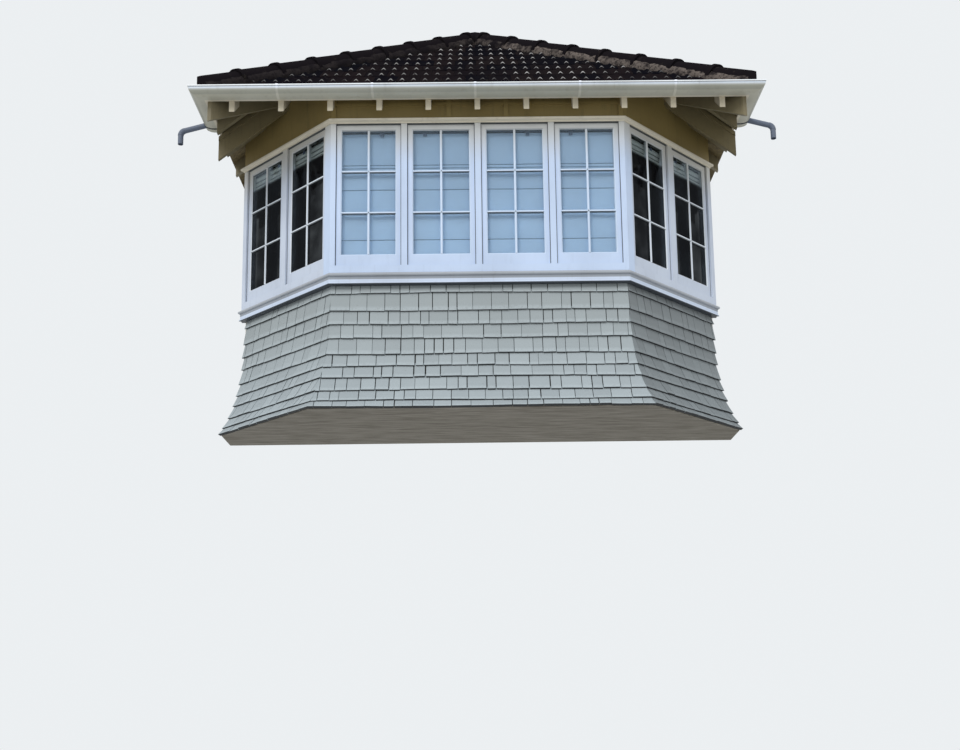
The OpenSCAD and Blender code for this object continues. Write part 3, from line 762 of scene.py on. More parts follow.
class Finishes:
    """Every finish of the part, made once."""

    def __init__(self) -> None:
        """Makes the materials, group by group."""
        # White paint of the frames, sashes, bars and sill, and near-black strips round the sashes; the
        # white is in lit copies, bluish on the front and greyer on the sides as painted sky light, and
        # lighter on the bars as painted highlight
        dull = (0.045, 0.05, 0.05)
        white = {"grime_and_shade": dull, "warm_head": 0.75, "under": 0.9}
        self.white = Paint("white_paint", (0.565, 0.675, 0.87), dirt=0.10, **white).build()
        self.white_side = Paint("side_white_paint", (0.58, 0.64, 0.75), dirt=0.15, **white).build()
        self.bar = Paint(
            "bar_white_paint", (0.65, 0.76, 0.92), dull, 0.06, warm_head=0.6, under=0.9
        ).build()
        self.bar_side = Paint(
            "side_bar_paint", (0.72, 0.77, 0.84), dull, 0.08, warm_head=0.5, under=0.8
        ).build()
        # Near-black paint for thin strips round the sashes: painted shade in the gaps.
        self.shadow_strip = Paint("painted_shadow_strip", (0.07, 0.075, 0.085), dirt=0.3, rough=0.6).build()
        # Painted shade on the sill by height: painted shadow along its foot, a grey band under the nosing
        # and a darker nosing.
        sill_shade_bands = (
            Band(0.70, 0.7385, (0.10, 0.10, 0.10)),
            Band(0.779, 0.806, (0.50, 0.48, 0.45)),
            Band(0.8065, 0.85, (0.66, 0.62, 0.56)),
        )
        self.sill = Paint("sill_paint", (0.60, 0.68, 0.82), dirt=0.2, bands=sill_shade_bands).build()

        # Cream and ochre paint of the eaves
        earth = (0.06, 0.05, 0.03)
        self.cream = Paint("cream_paint", (0.54, 0.48, 0.36), dirt=0.3).build()
        self.shade = Paint("shaded_cream_paint", (0.185, 0.155, 0.088), earth, 0.4, 0.5).build()
        self.trim = Paint("cream_trim_paint", (0.60, 0.55, 0.44), dirt=0.25).build()
        # The verge board's dark olive-brown is painted shade under the eaves.
        self.verge = Paint("shaded_verge_paint", (0.180, 0.146, 0.074), (0.05, 0.045, 0.03), 0.45, 0.5).build()
        self.ochre = Paint("ochre_paint", (0.23, 0.17, 0.060), earth, 0.4, 0.55).build()

        # Paint of the gutter and its fittings, with bands of painted light: a bright bead and upper face,
        # a thin line of painted shade under the bead, and a lighter curved foot
        gutter_light_bands = (
            Band(2.5345, 2.55, (2.35, 2.45, 3.0)),
            Band(2.5325, 2.5345, (0.45, 0.45, 0.48)),
            Band(2.512, 2.5325, (1.75, 1.95, 2.60), 0.018),
            Band(2.40, 2.474, (1.22, 1.20, 1.17)),
        )
        brown = (0.16, 0.145, 0.10)
        self.gutter = Paint("gutter_paint", (0.385, 0.380, 0.320), brown, 0.30, 0.38, bands=gutter_light_bands).build()
        self.gutter_strap = Paint(
            "gutter_strap_paint", (0.48, 0.47, 0.41), brown, 0.15, bands=gutter_light_bands
        ).build()
        self.pipe = Paint("pipe_paint", (0.12, 0.145, 0.20), dirt=0.3, rough=0.5).build()
        self.strap = Paint("strap_metal", (0.025, 0.027, 0.03), dirt=0.3, rough=0.6).build()

        # Shingles: in full light; a darker copy for the right side, partly painted shade and partly dirt;
        # and a near-black copy for the skirts of the flare, under the shingles, as painted shade in the
        # gaps
        self.shingle = ShinglePaint().build()
        self.dim_shingle = ShinglePaint(
            "dim_shingle", (0.225, 0.252, 0.264), (0.190, 0.212, 0.222), (0.190, 0.202, 0.204)
        ).build()
        self.under = ShinglePaint(
            "gap_shade_shingle", (0.06, 0.06, 0.055), (0.03, 0.03, 0.028), (0.045, 0.045, 0.04)
        ).build()

        # Clay, mortar, bare timber and the lining of the room
        self.soffit = Timber("soffit_boards", (0.22, 0.20, 0.165), (0.13, 0.115, 0.09), 0.115).build()
        self.tile = Clay("roof_clay").build()
        self.capping = Clay("capping_clay", (0.012, 0.010, 0.012), (0.034, 0.025, 0.022)).build()
        self.mortar = Mortar().build()
        self.frame = Timber("framing_timber", (0.42, 0.30, 0.17), (0.22, 0.14, 0.075)).build()
        self.boards = Timber("roof_boards", (0.17, 0.13, 0.06), (0.09, 0.07, 0.035), 0.12).build()
        self.floor = Timber("floor_timber", (0.33, 0.18, 0.08), (0.16, 0.08, 0.035), 0.11).build()
        self.lining = Paint("lining_paint", (0.62, 0.59, 0.52), dirt=0.12).build()

        # Glass and cloth
        self.clear = Glass("clear_glass", (0.35, 0.45, 0.58), 0.04, (0.93, 0.97, 0.99)).build()
        self.dark = Glass(
            "dark_glass", (0.005, 0.005, 0.006), 0.94, (0.90, 0.93, 0.94), 0.1, 2.07
        ).build()
        self.blind = Cloth("blind_cloth", (0.62, 0.745, 0.90)).build()
        self.raised = Cloth("raised_blind_cloth", (0.74, 0.77, 0.74)).build()
        self.curtain = Cloth("curtain_cloth", (0.42, 0.46, 0.55)).build()


@dataclass
class ShingledApron:
    """Rows of cut shingles on the three faces of the flared apron.

    The apron's face leans out from its top, and below the spring it follows a circle. The
    number cladding says how far out the wall's own face lies. A shingle stands off the face
    at its head, its back is sunk into it, and one narrower than a sliver is left out.
    """

    material: bpy.types.Material
    dim: bpy.types.Material
    butts: tuple[float, ...] = (
        0.655, 0.484, 0.352, 0.217, 0.059, -0.064, -0.181, -0.321, -0.433, -0.503,
    )
    top: float = 0.733
    top_out: float = -0.046
    lean: float = math.radians(4.0)
    spring: float = 0.353
    radius: float = 1.5
    centre_out: float = 1.4769
    centre_z: float = 0.4576
    cladding: float = 0.091
    front_reach: tuple[float, float] = (-1.52, 1.52)
    side_reach: tuple[float, float] = (-0.16, 1.50)
    lap: float = 0.035
    gap: float = 0.0026
    more_gap: float = 0.0042
    widest_gap: float = 0.013
    narrow: float = 0.075
    wide: float = 0.190
    thick: float = 0.018
    stand: float = 0.0015
    sunk: float = 0.002
    wave: float = 0.004
    foot_spread: float = 0.0014
    skew_spread: float = 0.0009
    start_spread: float = 0.1
    most_in_row: int = 60
    sliver: float = 0.004

    def surface(self, z: np.ndarray, lift: np.ndarray) -> tuple[np.ndarray, np.ndarray]:
        """Gives offset and height of points that stand off the apron's face.

        Above the spring the offset grows by the lean's tangent. Below it the face is part of
        a circle whose centre lies outside it, so that its normal points to that centre.

        Args:
            z: heights on the face.
            lift: distances from the face along its normal.

        Returns:
            Outward offsets from the frames, and heights.
        """
        plain = self.top_out + (self.top - z) * math.tan(self.lean)
        curve = self.centre_out - np.sqrt(self.radius**2 - (z - self.centre_z) ** 2)
        flat = z > self.spring
        out = np.where(flat, plain, curve)
        normal_out = np.where(flat, math.cos(self.lean), (self.centre_out - out) / self.radius)
        normal_z = np.where(flat, math.sin(self.lean), (self.centre_z - z) / self.radius)
        return out + lift * normal_out, z + lift * normal_z

    def limits(self, facing: Facing, out: np.ndarray, base: np.ndarray) -> tuple[np.ndarray, np.ndarray]:
        """Gives the ends of a face: the mitres, and the valley at the wall's own cladding.

        Args:
            facing: the face.
            out: offsets of the points.
            base: offsets of the apron's own face at the same heights.

        Returns:
            The least and the greatest length along the face.
        """
        if facing is Facing.FRONT:
            half = HALF_FRONT + out * MITRE
            return -half, half
        valley = (PROJECTION - self.cladding) / DIAGONAL - base * MITRE + (out - base)
        return -out * MITRE, valley

    def row(
        self, builder: MeshBuilder, facing: Facing, head: float, butt: float, chance: np.random.Generator
    ) -> None:
        """Lays one row of wedges, thin at the head and thick at the butt, side by side.

        A shingle's sides are upright, with a random gap between. Its height falls evenly from
        the head to the butt, which follows a slow wave and is a little askew, and its lift off
        the face grows with the share of the way down.

        Args:
            builder: where the shingles go.
            facing: the face.
            head: the height of the upper ends.
            butt: the height of the lower ends.
            chance: the random numbers.
        """
        low, high = self.front_reach if facing is Facing.FRONT else self.side_reach
        widths = chance.uniform(self.narrow, self.wide, self.most_in_row)
        edges = low - chance.uniform(0, self.start_spread) + np.concatenate([[0], np.cumsum(widths)])
        edges = edges[: np.searchsorted(edges, high) + 1]
        count = len(edges) - 1
        gaps = np.minimum(self.gap + chance.exponential(self.more_gap, count), self.widest_gap)
        sides = np.stack([edges[:-1] + gaps / 2, edges[1:] - gaps / 2], -1)
        wave = self.wave * np.sin(2.6 * sides + chance.uniform(0, 6.28))
        foot = butt + chance.normal(0, self.foot_spread, (count, 1))
        skew = chance.normal(0, self.skew_spread, (count, 1)) * np.array([-1.0, 1.0])
        thick = self.thick + chance.uniform(-0.002, 0.003, (count, 1, 1))
        tint = chance.uniform(0, 1, (count, 1, 1))
        down = np.linspace(0, 1, 5)[None, :, None]
        z = head + (foot + skew + wave - head)[:, None, :] * down
        base, _ = self.surface(z, np.zeros(z.shape))
        grids = []
        for lift in (self.stand + thick * down, -self.sunk):
            out, height = self.surface(z, lift)
            least, most = self.limits(facing, out, base)
            grids.append(FACES[facing].at(np.clip(sides[:, None, :], least, most), out, height))
        keep = np.ptp(grids[0][..., 0], axis=(1, 2)) > self.sliver
        tint, down = (np.broadcast_to(layer, z.shape)[keep] for layer in (tint, down))
        builder.shells(grids[0][keep], grids[1][keep], tint=tint, down=down)

    def build(self, facing: Facing, seed: int) -> bpy.types.Object:
        """Lays the rows on one face, from the top down, each tucked under the row above.

        Args:
            facing: the face.
            seed: starts the random widths.

        Returns:
            The piece.
        """
        chance = np.random.default_rng(seed)
        builder = MeshBuilder()
        heads = [self.top, *(butt + self.lap for butt in self.butts[:-1])]
        for head, butt in zip(heads, self.butts):
            self.row(builder, facing, head, butt, chance)
        name = f"{facing.value}_shingles"
        # The right side takes the darker copy: partly painted shade, partly dirt.
        material = self.dim if facing is Facing.RIGHT else self.material
        return place(name, builder.mesh(name), material)


@dataclass
class TiledHood:
    """Two-roll clay tiles on the hood's three slopes, with battens and eaves fillets.

    The eaves fillet and a batten are given by where they begin, up the slope from the tails
    or past a course's nose, by their depth up the slope and by the lift of their top.
    """

    material: bpy.types.Material
    timber: bpy.types.Material
    front_reach: tuple[float, float] = (-2.7, 2.7)
    side_reach: tuple[float, float] = (-1.35, 1.65)
    width: float = 0.216
    joint: float = 0.0012
    gauge: float = 0.2754
    lap: float = 0.055
    nose: float = -0.085
    pan: float = 0.254
    drop: float = 0.016
    thick: float = 0.015
    lip: float = 0.004
    roll: float = 0.021
    roll_at: float = 0.054
    roll_half: float = 0.029
    shift_spread: float = 0.0022
    rise_spread: float = 0.0011
    tilt_spread: float = 0.004
    bare_edge: float = -0.025
    least_area: float = 0.0009
    fillet: tuple[float, float, float] = (-0.024, 0.028, 0.234)
    batten: tuple[float, float, float] = (0.012, 0.034, 0.2165)

    def at(self, facing: Facing, along: np.ndarray, inward: np.ndarray, lift: np.ndarray) -> np.ndarray:
        """Gives points on a slope: z is the foot, plus the rise times inward, plus lift.

        Args:
            facing: the slope.
            along: level lengths along the eave.
            inward: level lengths from the tails up the slope.
            lift: heights above the rafters' lower edge.

        Returns:
            Points with a last axis of three.
        """
        z = FOOT_Z + RISE * inward + lift
        if facing is Facing.FRONT:
            return np.stack([along, inward - EAVE_Y, z], -1)
        sign = 1.0 if facing is Facing.RIGHT else -1.0
        return np.stack([sign * (EAVE_HALF - inward), along, z], -1)

    def clip(
        self, facing: Facing, along: np.ndarray, inward: np.ndarray
    ) -> tuple[np.ndarray, np.ndarray]:
        """Holds points within a slope's edges: hips, eave, plumb cuts and ridge.

        Behind the gutter's end a side slope reaches only as far as its bare edge.

        Args:
            facing: the slope.
            along: level lengths along the eave.
            inward: level lengths from the tails.

        Returns:
            The held lengths along and inward.
        """
        inward = np.minimum(inward, EAVE_HALF)
        if facing is Facing.FRONT:
            half = EAVE_HALF - inward
            return np.clip(along, -half, half), inward
        inward = np.where(along > -GUTTER_END, np.maximum(inward, self.bare_edge), inward)
        return np.clip(along, inward - EAVE_Y, BACK_Y), inward

    def profile(self, x: np.ndarray) -> np.ndarray:
        """Gives the height of the two rolls across a tile: a squared cosine about each."""
        u = np.clip((np.abs(x) - self.roll_at) / self.roll_half, -1, 1)
        return self.roll * np.cos(u * math.pi / 2) ** 2

    def course(
        self, builder: MeshBuilder, facing: Facing, number: int, chance: np.random.Generator
    ) -> None:
        """Lays one course: a tile is a grid across its width and up the slope.

        The lift is the pan's, less the drop towards the head, plus the rolls and a small tilt.
        The layer nose is 1 on a roll's lower edge and falls away up the tile and in the pan.

        Args:
            builder: where the tiles go.
            facing: the slope.
            number: counts the courses from the eaves.
            chance: the random numbers.
        """
        rolls = self.roll_at + np.linspace(-1, 1, 7) * self.roll_half
        half = self.width / 2 - self.joint
        across = np.concatenate([[-half], -rolls[::-1], rolls, [half]])
        up = np.array([0.0, 0.004, 0.022, 0.14, self.gauge + self.lap])[None, :, None]
        edge = np.array([1.0, 1.0, 0.45, 0.0, 0.0])[None, :, None]
        low, high = self.front_reach if facing is Facing.FRONT else self.side_reach
        middle = np.arange(low + (number % 2) * self.width / 2, high, self.width)[:, None, None]
        shift = chance.normal(0, self.shift_spread, middle.shape)
        rise = chance.normal(0, self.rise_spread, middle.shape)
        tilt = chance.normal(0, self.tilt_spread, middle.shape)
        tint = chance.uniform(0, 1, middle.shape)
        start = self.nose + number * self.gauge
        along, inward = np.broadcast_arrays(middle + across, start + shift + up)
        along, inward = self.clip(facing, along, inward)
        local = along - middle
        profile = self.profile(local)
        lift = self.pan - self.drop * (inward - start) / self.gauge + profile + rise + tilt * local
        top = self.at(facing, along, inward, lift - np.where(up == 0.0, self.lip, 0.0))
        bottom = self.at(facing, along, inward, lift - self.thick)
        # The layer nose places the painted glints on the rolls' lower edges.
        nose = edge * (0.45 + 0.55 * profile / self.roll)
        nose = np.stack([nose, nose * 0.1], 1)
        keep = np.ptp(along, axis=(1, 2)) * np.ptp(inward, axis=(1, 2)) > self.least_area
        builder.shells(top[keep], bottom[keep], tint=tint[keep], nose=nose[keep])

    def build(self, facing: Facing, seed: int) -> bpy.types.Object:
        """Lays the tiles of one slope.

        Args:
            facing: the slope.
            seed: starts the random shifts.

        Returns:
            The piece, which stands for the slope's slab.
        """
        chance = np.random.default_rng(seed)
        builder = MeshBuilder()
        for number in range(int((EAVE_HALF - self.nose) / self.gauge) + 1):
            self.course(builder, facing, number, chance)
        name = f"{facing.value}_laid_tiles"
        mesh = builder.mesh(name, 40.0)
        return place(name, mesh, self.material, (f"{facing.value}_roof_tiles",))

    def battens(self) -> bpy.types.Object:
        """Lays a batten under the head of each course, and a fillet along the eaves."""
        builder = MeshBuilder()
        past, deep, top = self.batten
        courses = int((EAVE_HALF - self.nose) / self.gauge)
        strips = [self.fillet]
        strips += [(self.nose + (k + 1) * self.gauge + past, deep, top) for k in range(courses)]
        for facing in Facing:
            reach = self.front_reach if facing is Facing.FRONT else self.side_reach
            for begin, deep, top in strips:
                along, inward = self.clip(facing, *np.meshgrid(reach, (begin, begin + deep)))
                upper, lower = (self.at(facing, along, inward, lift)[None] for lift in (top, BOARDS_TOP))
                builder.shells(upper, lower)
        return place("roof_battens", builder.mesh("roof_battens"), self.timber)


@dataclass
class Bedding:
    """Mortar that beds the cappings, as rough fillets along both sides of hips and ridge.

    The section's points are lengths down the slope from the hip's line and lengths off it.
    """

    material: bpy.types.Material
    section: tuple[tuple[float, float], ...] = (
        (0.080, -0.030), (0.080, 0.062), (0.104, 0.052),
        (0.121, 0.036), (0.137, 0.012), (0.141, -0.030),
    )
    uneven: float = 0.007
    lift: float = 0.004
    past_foot: float = 0.060
    below_apex: float = 0.02
    before_cut: float = 0.002
    hip_rings: int = 150
    ridge_rings: int = 14

    def build(self) -> bpy.types.Object:
        """Runs four fillets down the hips and two along the ridge.

        Returns:
            The piece.
        """
        chance = np.random.default_rng(41)
        builder = MeshBuilder()
        level = TILES_TOP + self.lift
        down_front = np.array([0.0, -1.0, -RISE])
        for sign in (1.0, -1.0):
            down_side = np.array([sign, 0.0, -RISE])
            foot = np.array([sign * EAVE_HALF, -EAVE_Y, FOOT_Z + level])
            hip = np.array([-sign, 1.0, RISE])
            start, end = foot - hip * self.past_foot, foot + hip * (EAVE_HALF - self.below_apex)
            for fall in (down_front, down_side):
                builder.tubes(self.fillet(start, end, fall, chance, self.hip_rings))
            start = np.array([0.0, EAVE_HALF - EAVE_Y, FOOT_Z + RISE * EAVE_HALF + level])
            end = start + np.array([0.0, BACK_Y - start[1] - self.before_cut, 0.0])
            builder.tubes(self.fillet(start, end, down_side, chance, self.ridge_rings))
        mesh = builder.mesh("hip_bedding", 50.0)
        return place("hip_bedding", mesh, self.material)

    def fillet(
        self, start: np.ndarray, end: np.ndarray, fall: np.ndarray, chance: np.random.Generator, rings: int
    ) -> np.ndarray:
        """Works out the rings of one fillet: its section, carried evenly from start to end.

        Each point of a ring moves at random, as the mean of three numbers along the line, and
        the points against the tiles and the capping move less.

        Args:
            start: where it starts on the hip's line.
            end: where it ends.
            fall: the way down its slope.
            chance: the random numbers.
            rings: how many rings there are.

        Returns:
            An array (1, rings, 6, 3).
        """
        share = np.linspace(0, 1, rings)[:, None, None]
        line = start + (end - start) * share
        way = (end - start) / np.linalg.norm(end - start)
        side = fall - way * (fall @ way)
        side /= np.linalg.norm(side)
        up = np.cross(way, side)
        up *= np.sign(up[2])
        rough = chance.normal(0, 1, (rings, len(self.section), 2))
        rough = (rough + np.roll(rough, 1, 0) + np.roll(rough, 2, 0)) / 3
        rough[:, [0, 1, 5]] *= 0.3
        shape = np.array(self.section) + rough * self.uneven
        points = line + shape[..., :1] * side + shape[..., 1:] * up
        return points[None]


@dataclass
class GutterFittings:
    """Straps that hold the gutter to the fascia, and the dark stays near its closed ends."""

    material: bpy.types.Material
    dark: bpy.types.Material
    places: tuple[float, ...] = (-1.817, -0.953, -0.018, 0.934, 1.802)
    fascia_y: float = -1.180
    end_x: float = 2.4955
    end_y: float = -0.640
    foot_out: float = 0.001
    foot_z: float = 2.463
    flat: float = 0.026
    curve_out: float = 0.096
    curve_up: float = 0.052
    bead_out: float = 0.130
    bead_z: float = 2.535
    lip_out: float = 0.112
    lip_z: float = 2.545
    width: float = 0.022
    metal: float = 0.0022
    clear: float = 0.0002

    def outline(self, stand: float) -> np.ndarray:
        """Gives the gutter's outline from its back foot to its bead, moved off by stand.

        Past a flat the curve is a quarter of an ellipse, and the bead stands square over it.

        Args:
            stand: how far the points stand off the metal.

        Returns:
            Offsets from the fascia and heights, one row each.
        """
        turn = np.linspace(0, math.pi / 2, 13)
        out = self.flat + (self.curve_out + stand) * np.sin(turn)
        z = self.foot_z + self.curve_up - (self.curve_up + stand) * np.cos(turn)
        face, bead = self.flat + self.curve_out + stand, self.bead_out + stand
        under, over = self.bead_z - stand, self.lip_z + stand
        back = np.array([[self.foot_out, self.foot_z - stand]])
        rim = np.array([[face, under], [bead, under], [bead, over], [self.lip_out, over]])
        return np.concatenate([back, np.stack([out, z], -1), rim])

    def bend(self, builder: MeshBuilder, face: Face) -> None:
        """Bends a strap round the gutter, centred on the start of a face."""
        half = np.array([-0.5, 0.5]) * self.width
        lines = (self.outline(self.metal), self.outline(self.clear))
        builder.shells(*(face.at(half, line[:, :1], line[:, 1:])[None] for line in lines))

    def build(self) -> list[bpy.types.Object]:
        """Makes the straps along the front and the stays near the ends.

        Returns:
            The pale straps and the dark ones.
        """
        pale, dark = MeshBuilder(), MeshBuilder()
        for x in self.places:
            self.bend(pale, Face((x, self.fascia_y), (1.0, 0.0), (0.0, -1.0)))
        for sign in (1.0, -1.0):
            self.bend(dark, Face((sign * self.end_x, self.end_y), (0.0, 1.0), (sign, 0.0)))
        return [
            place("gutter_straps", pale.mesh("gutter_straps", 30.0), self.material),
            place("gutter_end_stays", dark.mesh("gutter_end_stays", 30.0), self.dark),
        ]


@dataclass(frozen=True)
class Opening:
    """One sash opening: its face, the left edge along it and its width."""

    name: str
    facing: Facing
    left: float
    width: float

    def within(self, inset: float) -> tuple[float, float]:
        """Gives the ends along the face, drawn in by an inset."""
        return self.left + inset, self.left + self.width - inset

    @property
    def glass(self) -> tuple[float, float, float, float]:
        """Gives the clear glass: least and greatest length, foot and head."""
        return (*self.within(SASH_GAP + STILE), SASH_FOOT + BOTTOM_RAIL, SASH_HEAD - TOP_RAIL)


def openings() -> list[Opening]:
    """Lists the eight sash openings.

    Returns:
        The openings, the front ones from left to right first.
    """
    (inner, inner_w), (outer, outer_w) = FRONT_OPENINGS
    found = [
        Opening("front_1", Facing.FRONT, -outer - outer_w, outer_w),
        Opening("front_2", Facing.FRONT, -inner - inner_w, inner_w),
        Opening("front_3", Facing.FRONT, inner, inner_w),
        Opening("front_4", Facing.FRONT, outer, outer_w),
    ]
    for facing in SIDES:
        for number, (left, width) in enumerate(SIDE_OPENINGS, 1):
            found.append(Opening(f"{facing.value}_{number}", facing, left, width))
    return found


@dataclass
class Sashes:
    """Glazing bars, putty, panes, near-black strips of painted shade and fasteners of the eight sashes.

    A bar is given by half widths and depths along one of its sides, putty and shadow strip by
    lengths inward and depths, and a lever by lengths along the sash, depths, rises and radii.
    """

    finishes: Finishes
    bar: tuple[tuple[float, float], ...] = (
        (0.0055, 0.0215), (0.011, 0.0300), (0.011, 0.0345), (0.0055, 0.0600),
    )
    bite: float = 0.001
    putty: tuple[tuple[float, float], ...] = (
        (-0.0078, 0.0206), (-0.0078, 0.0298), (0.0012, 0.0298), (0.0012, 0.0285),
    )
    shadow_strip: tuple[tuple[float, float], ...] = (
        (-0.0025, 0.0196), (0.0034, 0.0196), (0.0034, 0.0204), (-0.0025, 0.0204),
    )
    pane_edge: float = 0.006
    pane_gap: float = 0.002
    pane_depths: tuple[float, float] = (0.0300, 0.0338)
    pane_lean: float = 0.00035
    lever_z: float = 1.640
    lever: tuple[tuple[float, float, float, float], ...] = (
        (0.028, 0.062, 0.0, 0.0075),
        (0.034, 0.078, 0.0, 0.0075),
        (0.060, 0.088, 0.004, 0.0065),
        (0.095, 0.090, 0.006, 0.0055),
        (0.120, 0.088, -0.002, 0.0070),
    )

    def bars(self, chosen: list[Opening], name: str, material: bpy.types.Material) -> None:
        """Makes the bars and the putty of some sashes.

        A bar's section has eight corners: narrow in front and behind, wide at the glass.

        Args:
            chosen: the openings.
            name: the piece's name.
            material: its finish.
        """
        builder = MeshBuilder()
        side = np.array(self.bar)
        wide, deep = np.roll(np.concatenate([side, side[::-1] * (-1, 1)]), 1, 0).T
        for opening in chosen:
            face = FACES[opening.facing]
            t0, t1, z0, z1 = opening.glass
            upright = np.array([z0 - self.bite, z1 + self.bite])[:, None]
            level = np.array([t0 - self.bite, t1 + self.bite])[:, None]
            builder.tubes(face.at((t0 + t1) / 2 + wide, -deep, upright)[None])
            for share in (1 / 3, 2 / 3):
                builder.tubes(face.at(level, -deep, z0 + (z1 - z0) * share + wide)[None])
            builder.tubes(face.rim(opening.glass, np.array(self.putty)), looped=True)
        place(name, builder.mesh(name), material)

    def panes(self, chosen: list[Opening], name: str, material: bpy.types.Material, seed: int) -> None:
        """Cuts the small panes, each set a little out of line as old glass is.

        The layer veil grows from 0 to 1 across the second column of a side sash.

        Args:
            chosen: the openings.
            name: the piece's name.
            material: the glass.
            seed: starts the random tilts.
        """
        chance = np.random.default_rng(seed)
        builder = MeshBuilder()
        for opening in chosen:
            face = FACES[opening.facing]
            t0, t1, z0, z1 = opening.glass
            t = np.array([t0 - self.pane_edge, (t0 + t1) / 2, t1 + self.pane_edge])
            z = z0 + (z1 - z0) * np.array([0, 1, 2, 3]) / 3
            z += self.pane_edge * np.array([-1, 0, 0, 1])
            t = np.stack([t[:-1] + self.pane_gap, t[1:] - self.pane_gap], -1)[:, None, None, :]
            z = np.stack([z[:-1] + self.pane_gap, z[1:] - self.pane_gap], -1)[None, :, :, None]
            lean = chance.normal(0, self.pane_lean, (2, 3, 2, 2)) * 0.5
            front, back = (face.at(t, lean - deep, z).reshape(6, 2, 2, 3) for deep in self.pane_depths)
            outer = np.arange(2)[:, None, None, None] * (opening.facing in SIDES)
            veil = np.broadcast_to(np.array([0.0, 1.0]) * outer, lean.shape)
            builder.shells(front, back, veil=veil.reshape(6, 2, 2))
        place(name, builder.mesh(name), material, ("glass_panes",))

    def shadow_strips(self) -> None:
        """Runs a thin near-black strip round the front edge of each sash, as painted shade in the gap."""
        builder = MeshBuilder()
        for opening in openings():
            box = (*opening.within(SASH_GAP), SASH_FOOT, SASH_HEAD)
            builder.tubes(FACES[opening.facing].rim(box, np.array(self.shadow_strip)), looped=True)
        place("sash_shadow_strips", builder.mesh("sash_shadow_strips"), self.finishes.shadow_strip)

    def fasteners(self) -> None:
        """Puts a lever on the stile of each side sash nearest the front: rings along a path."""
        builder = MeshBuilder()
        turn = np.linspace(0, 2 * math.pi, 9)[:-1]
        along, deep, rise, radius = np.array(self.lever).T[..., None]
        for facing in SIDES:
            for left, _ in SIDE_OPENINGS:
                out, z = radius * np.cos(turn) - deep, self.lever_z + rise + radius * np.sin(turn)
                builder.tubes(FACES[facing].at(left + along, out, z)[None])
        mesh = builder.mesh("sash_fasteners", 50.0)
        place("sash_fasteners", mesh, self.finishes.white_side)

    def build(self) -> None:
        """Makes every piece of the sashes."""
        front = [o for o in openings() if o.facing is Facing.FRONT]
        sides = [o for o in openings() if o.facing in SIDES]
        self.bars(front, "front_glazing_bars", self.finishes.bar)
        self.bars(sides, "side_glazing_bars", self.finishes.bar_side)
        self.panes(front, "front_panes", self.finishes.clear, 5)
        self.panes(sides, "side_panes", self.finishes.dark, 6)
        self.shadow_strips()
        self.fasteners()


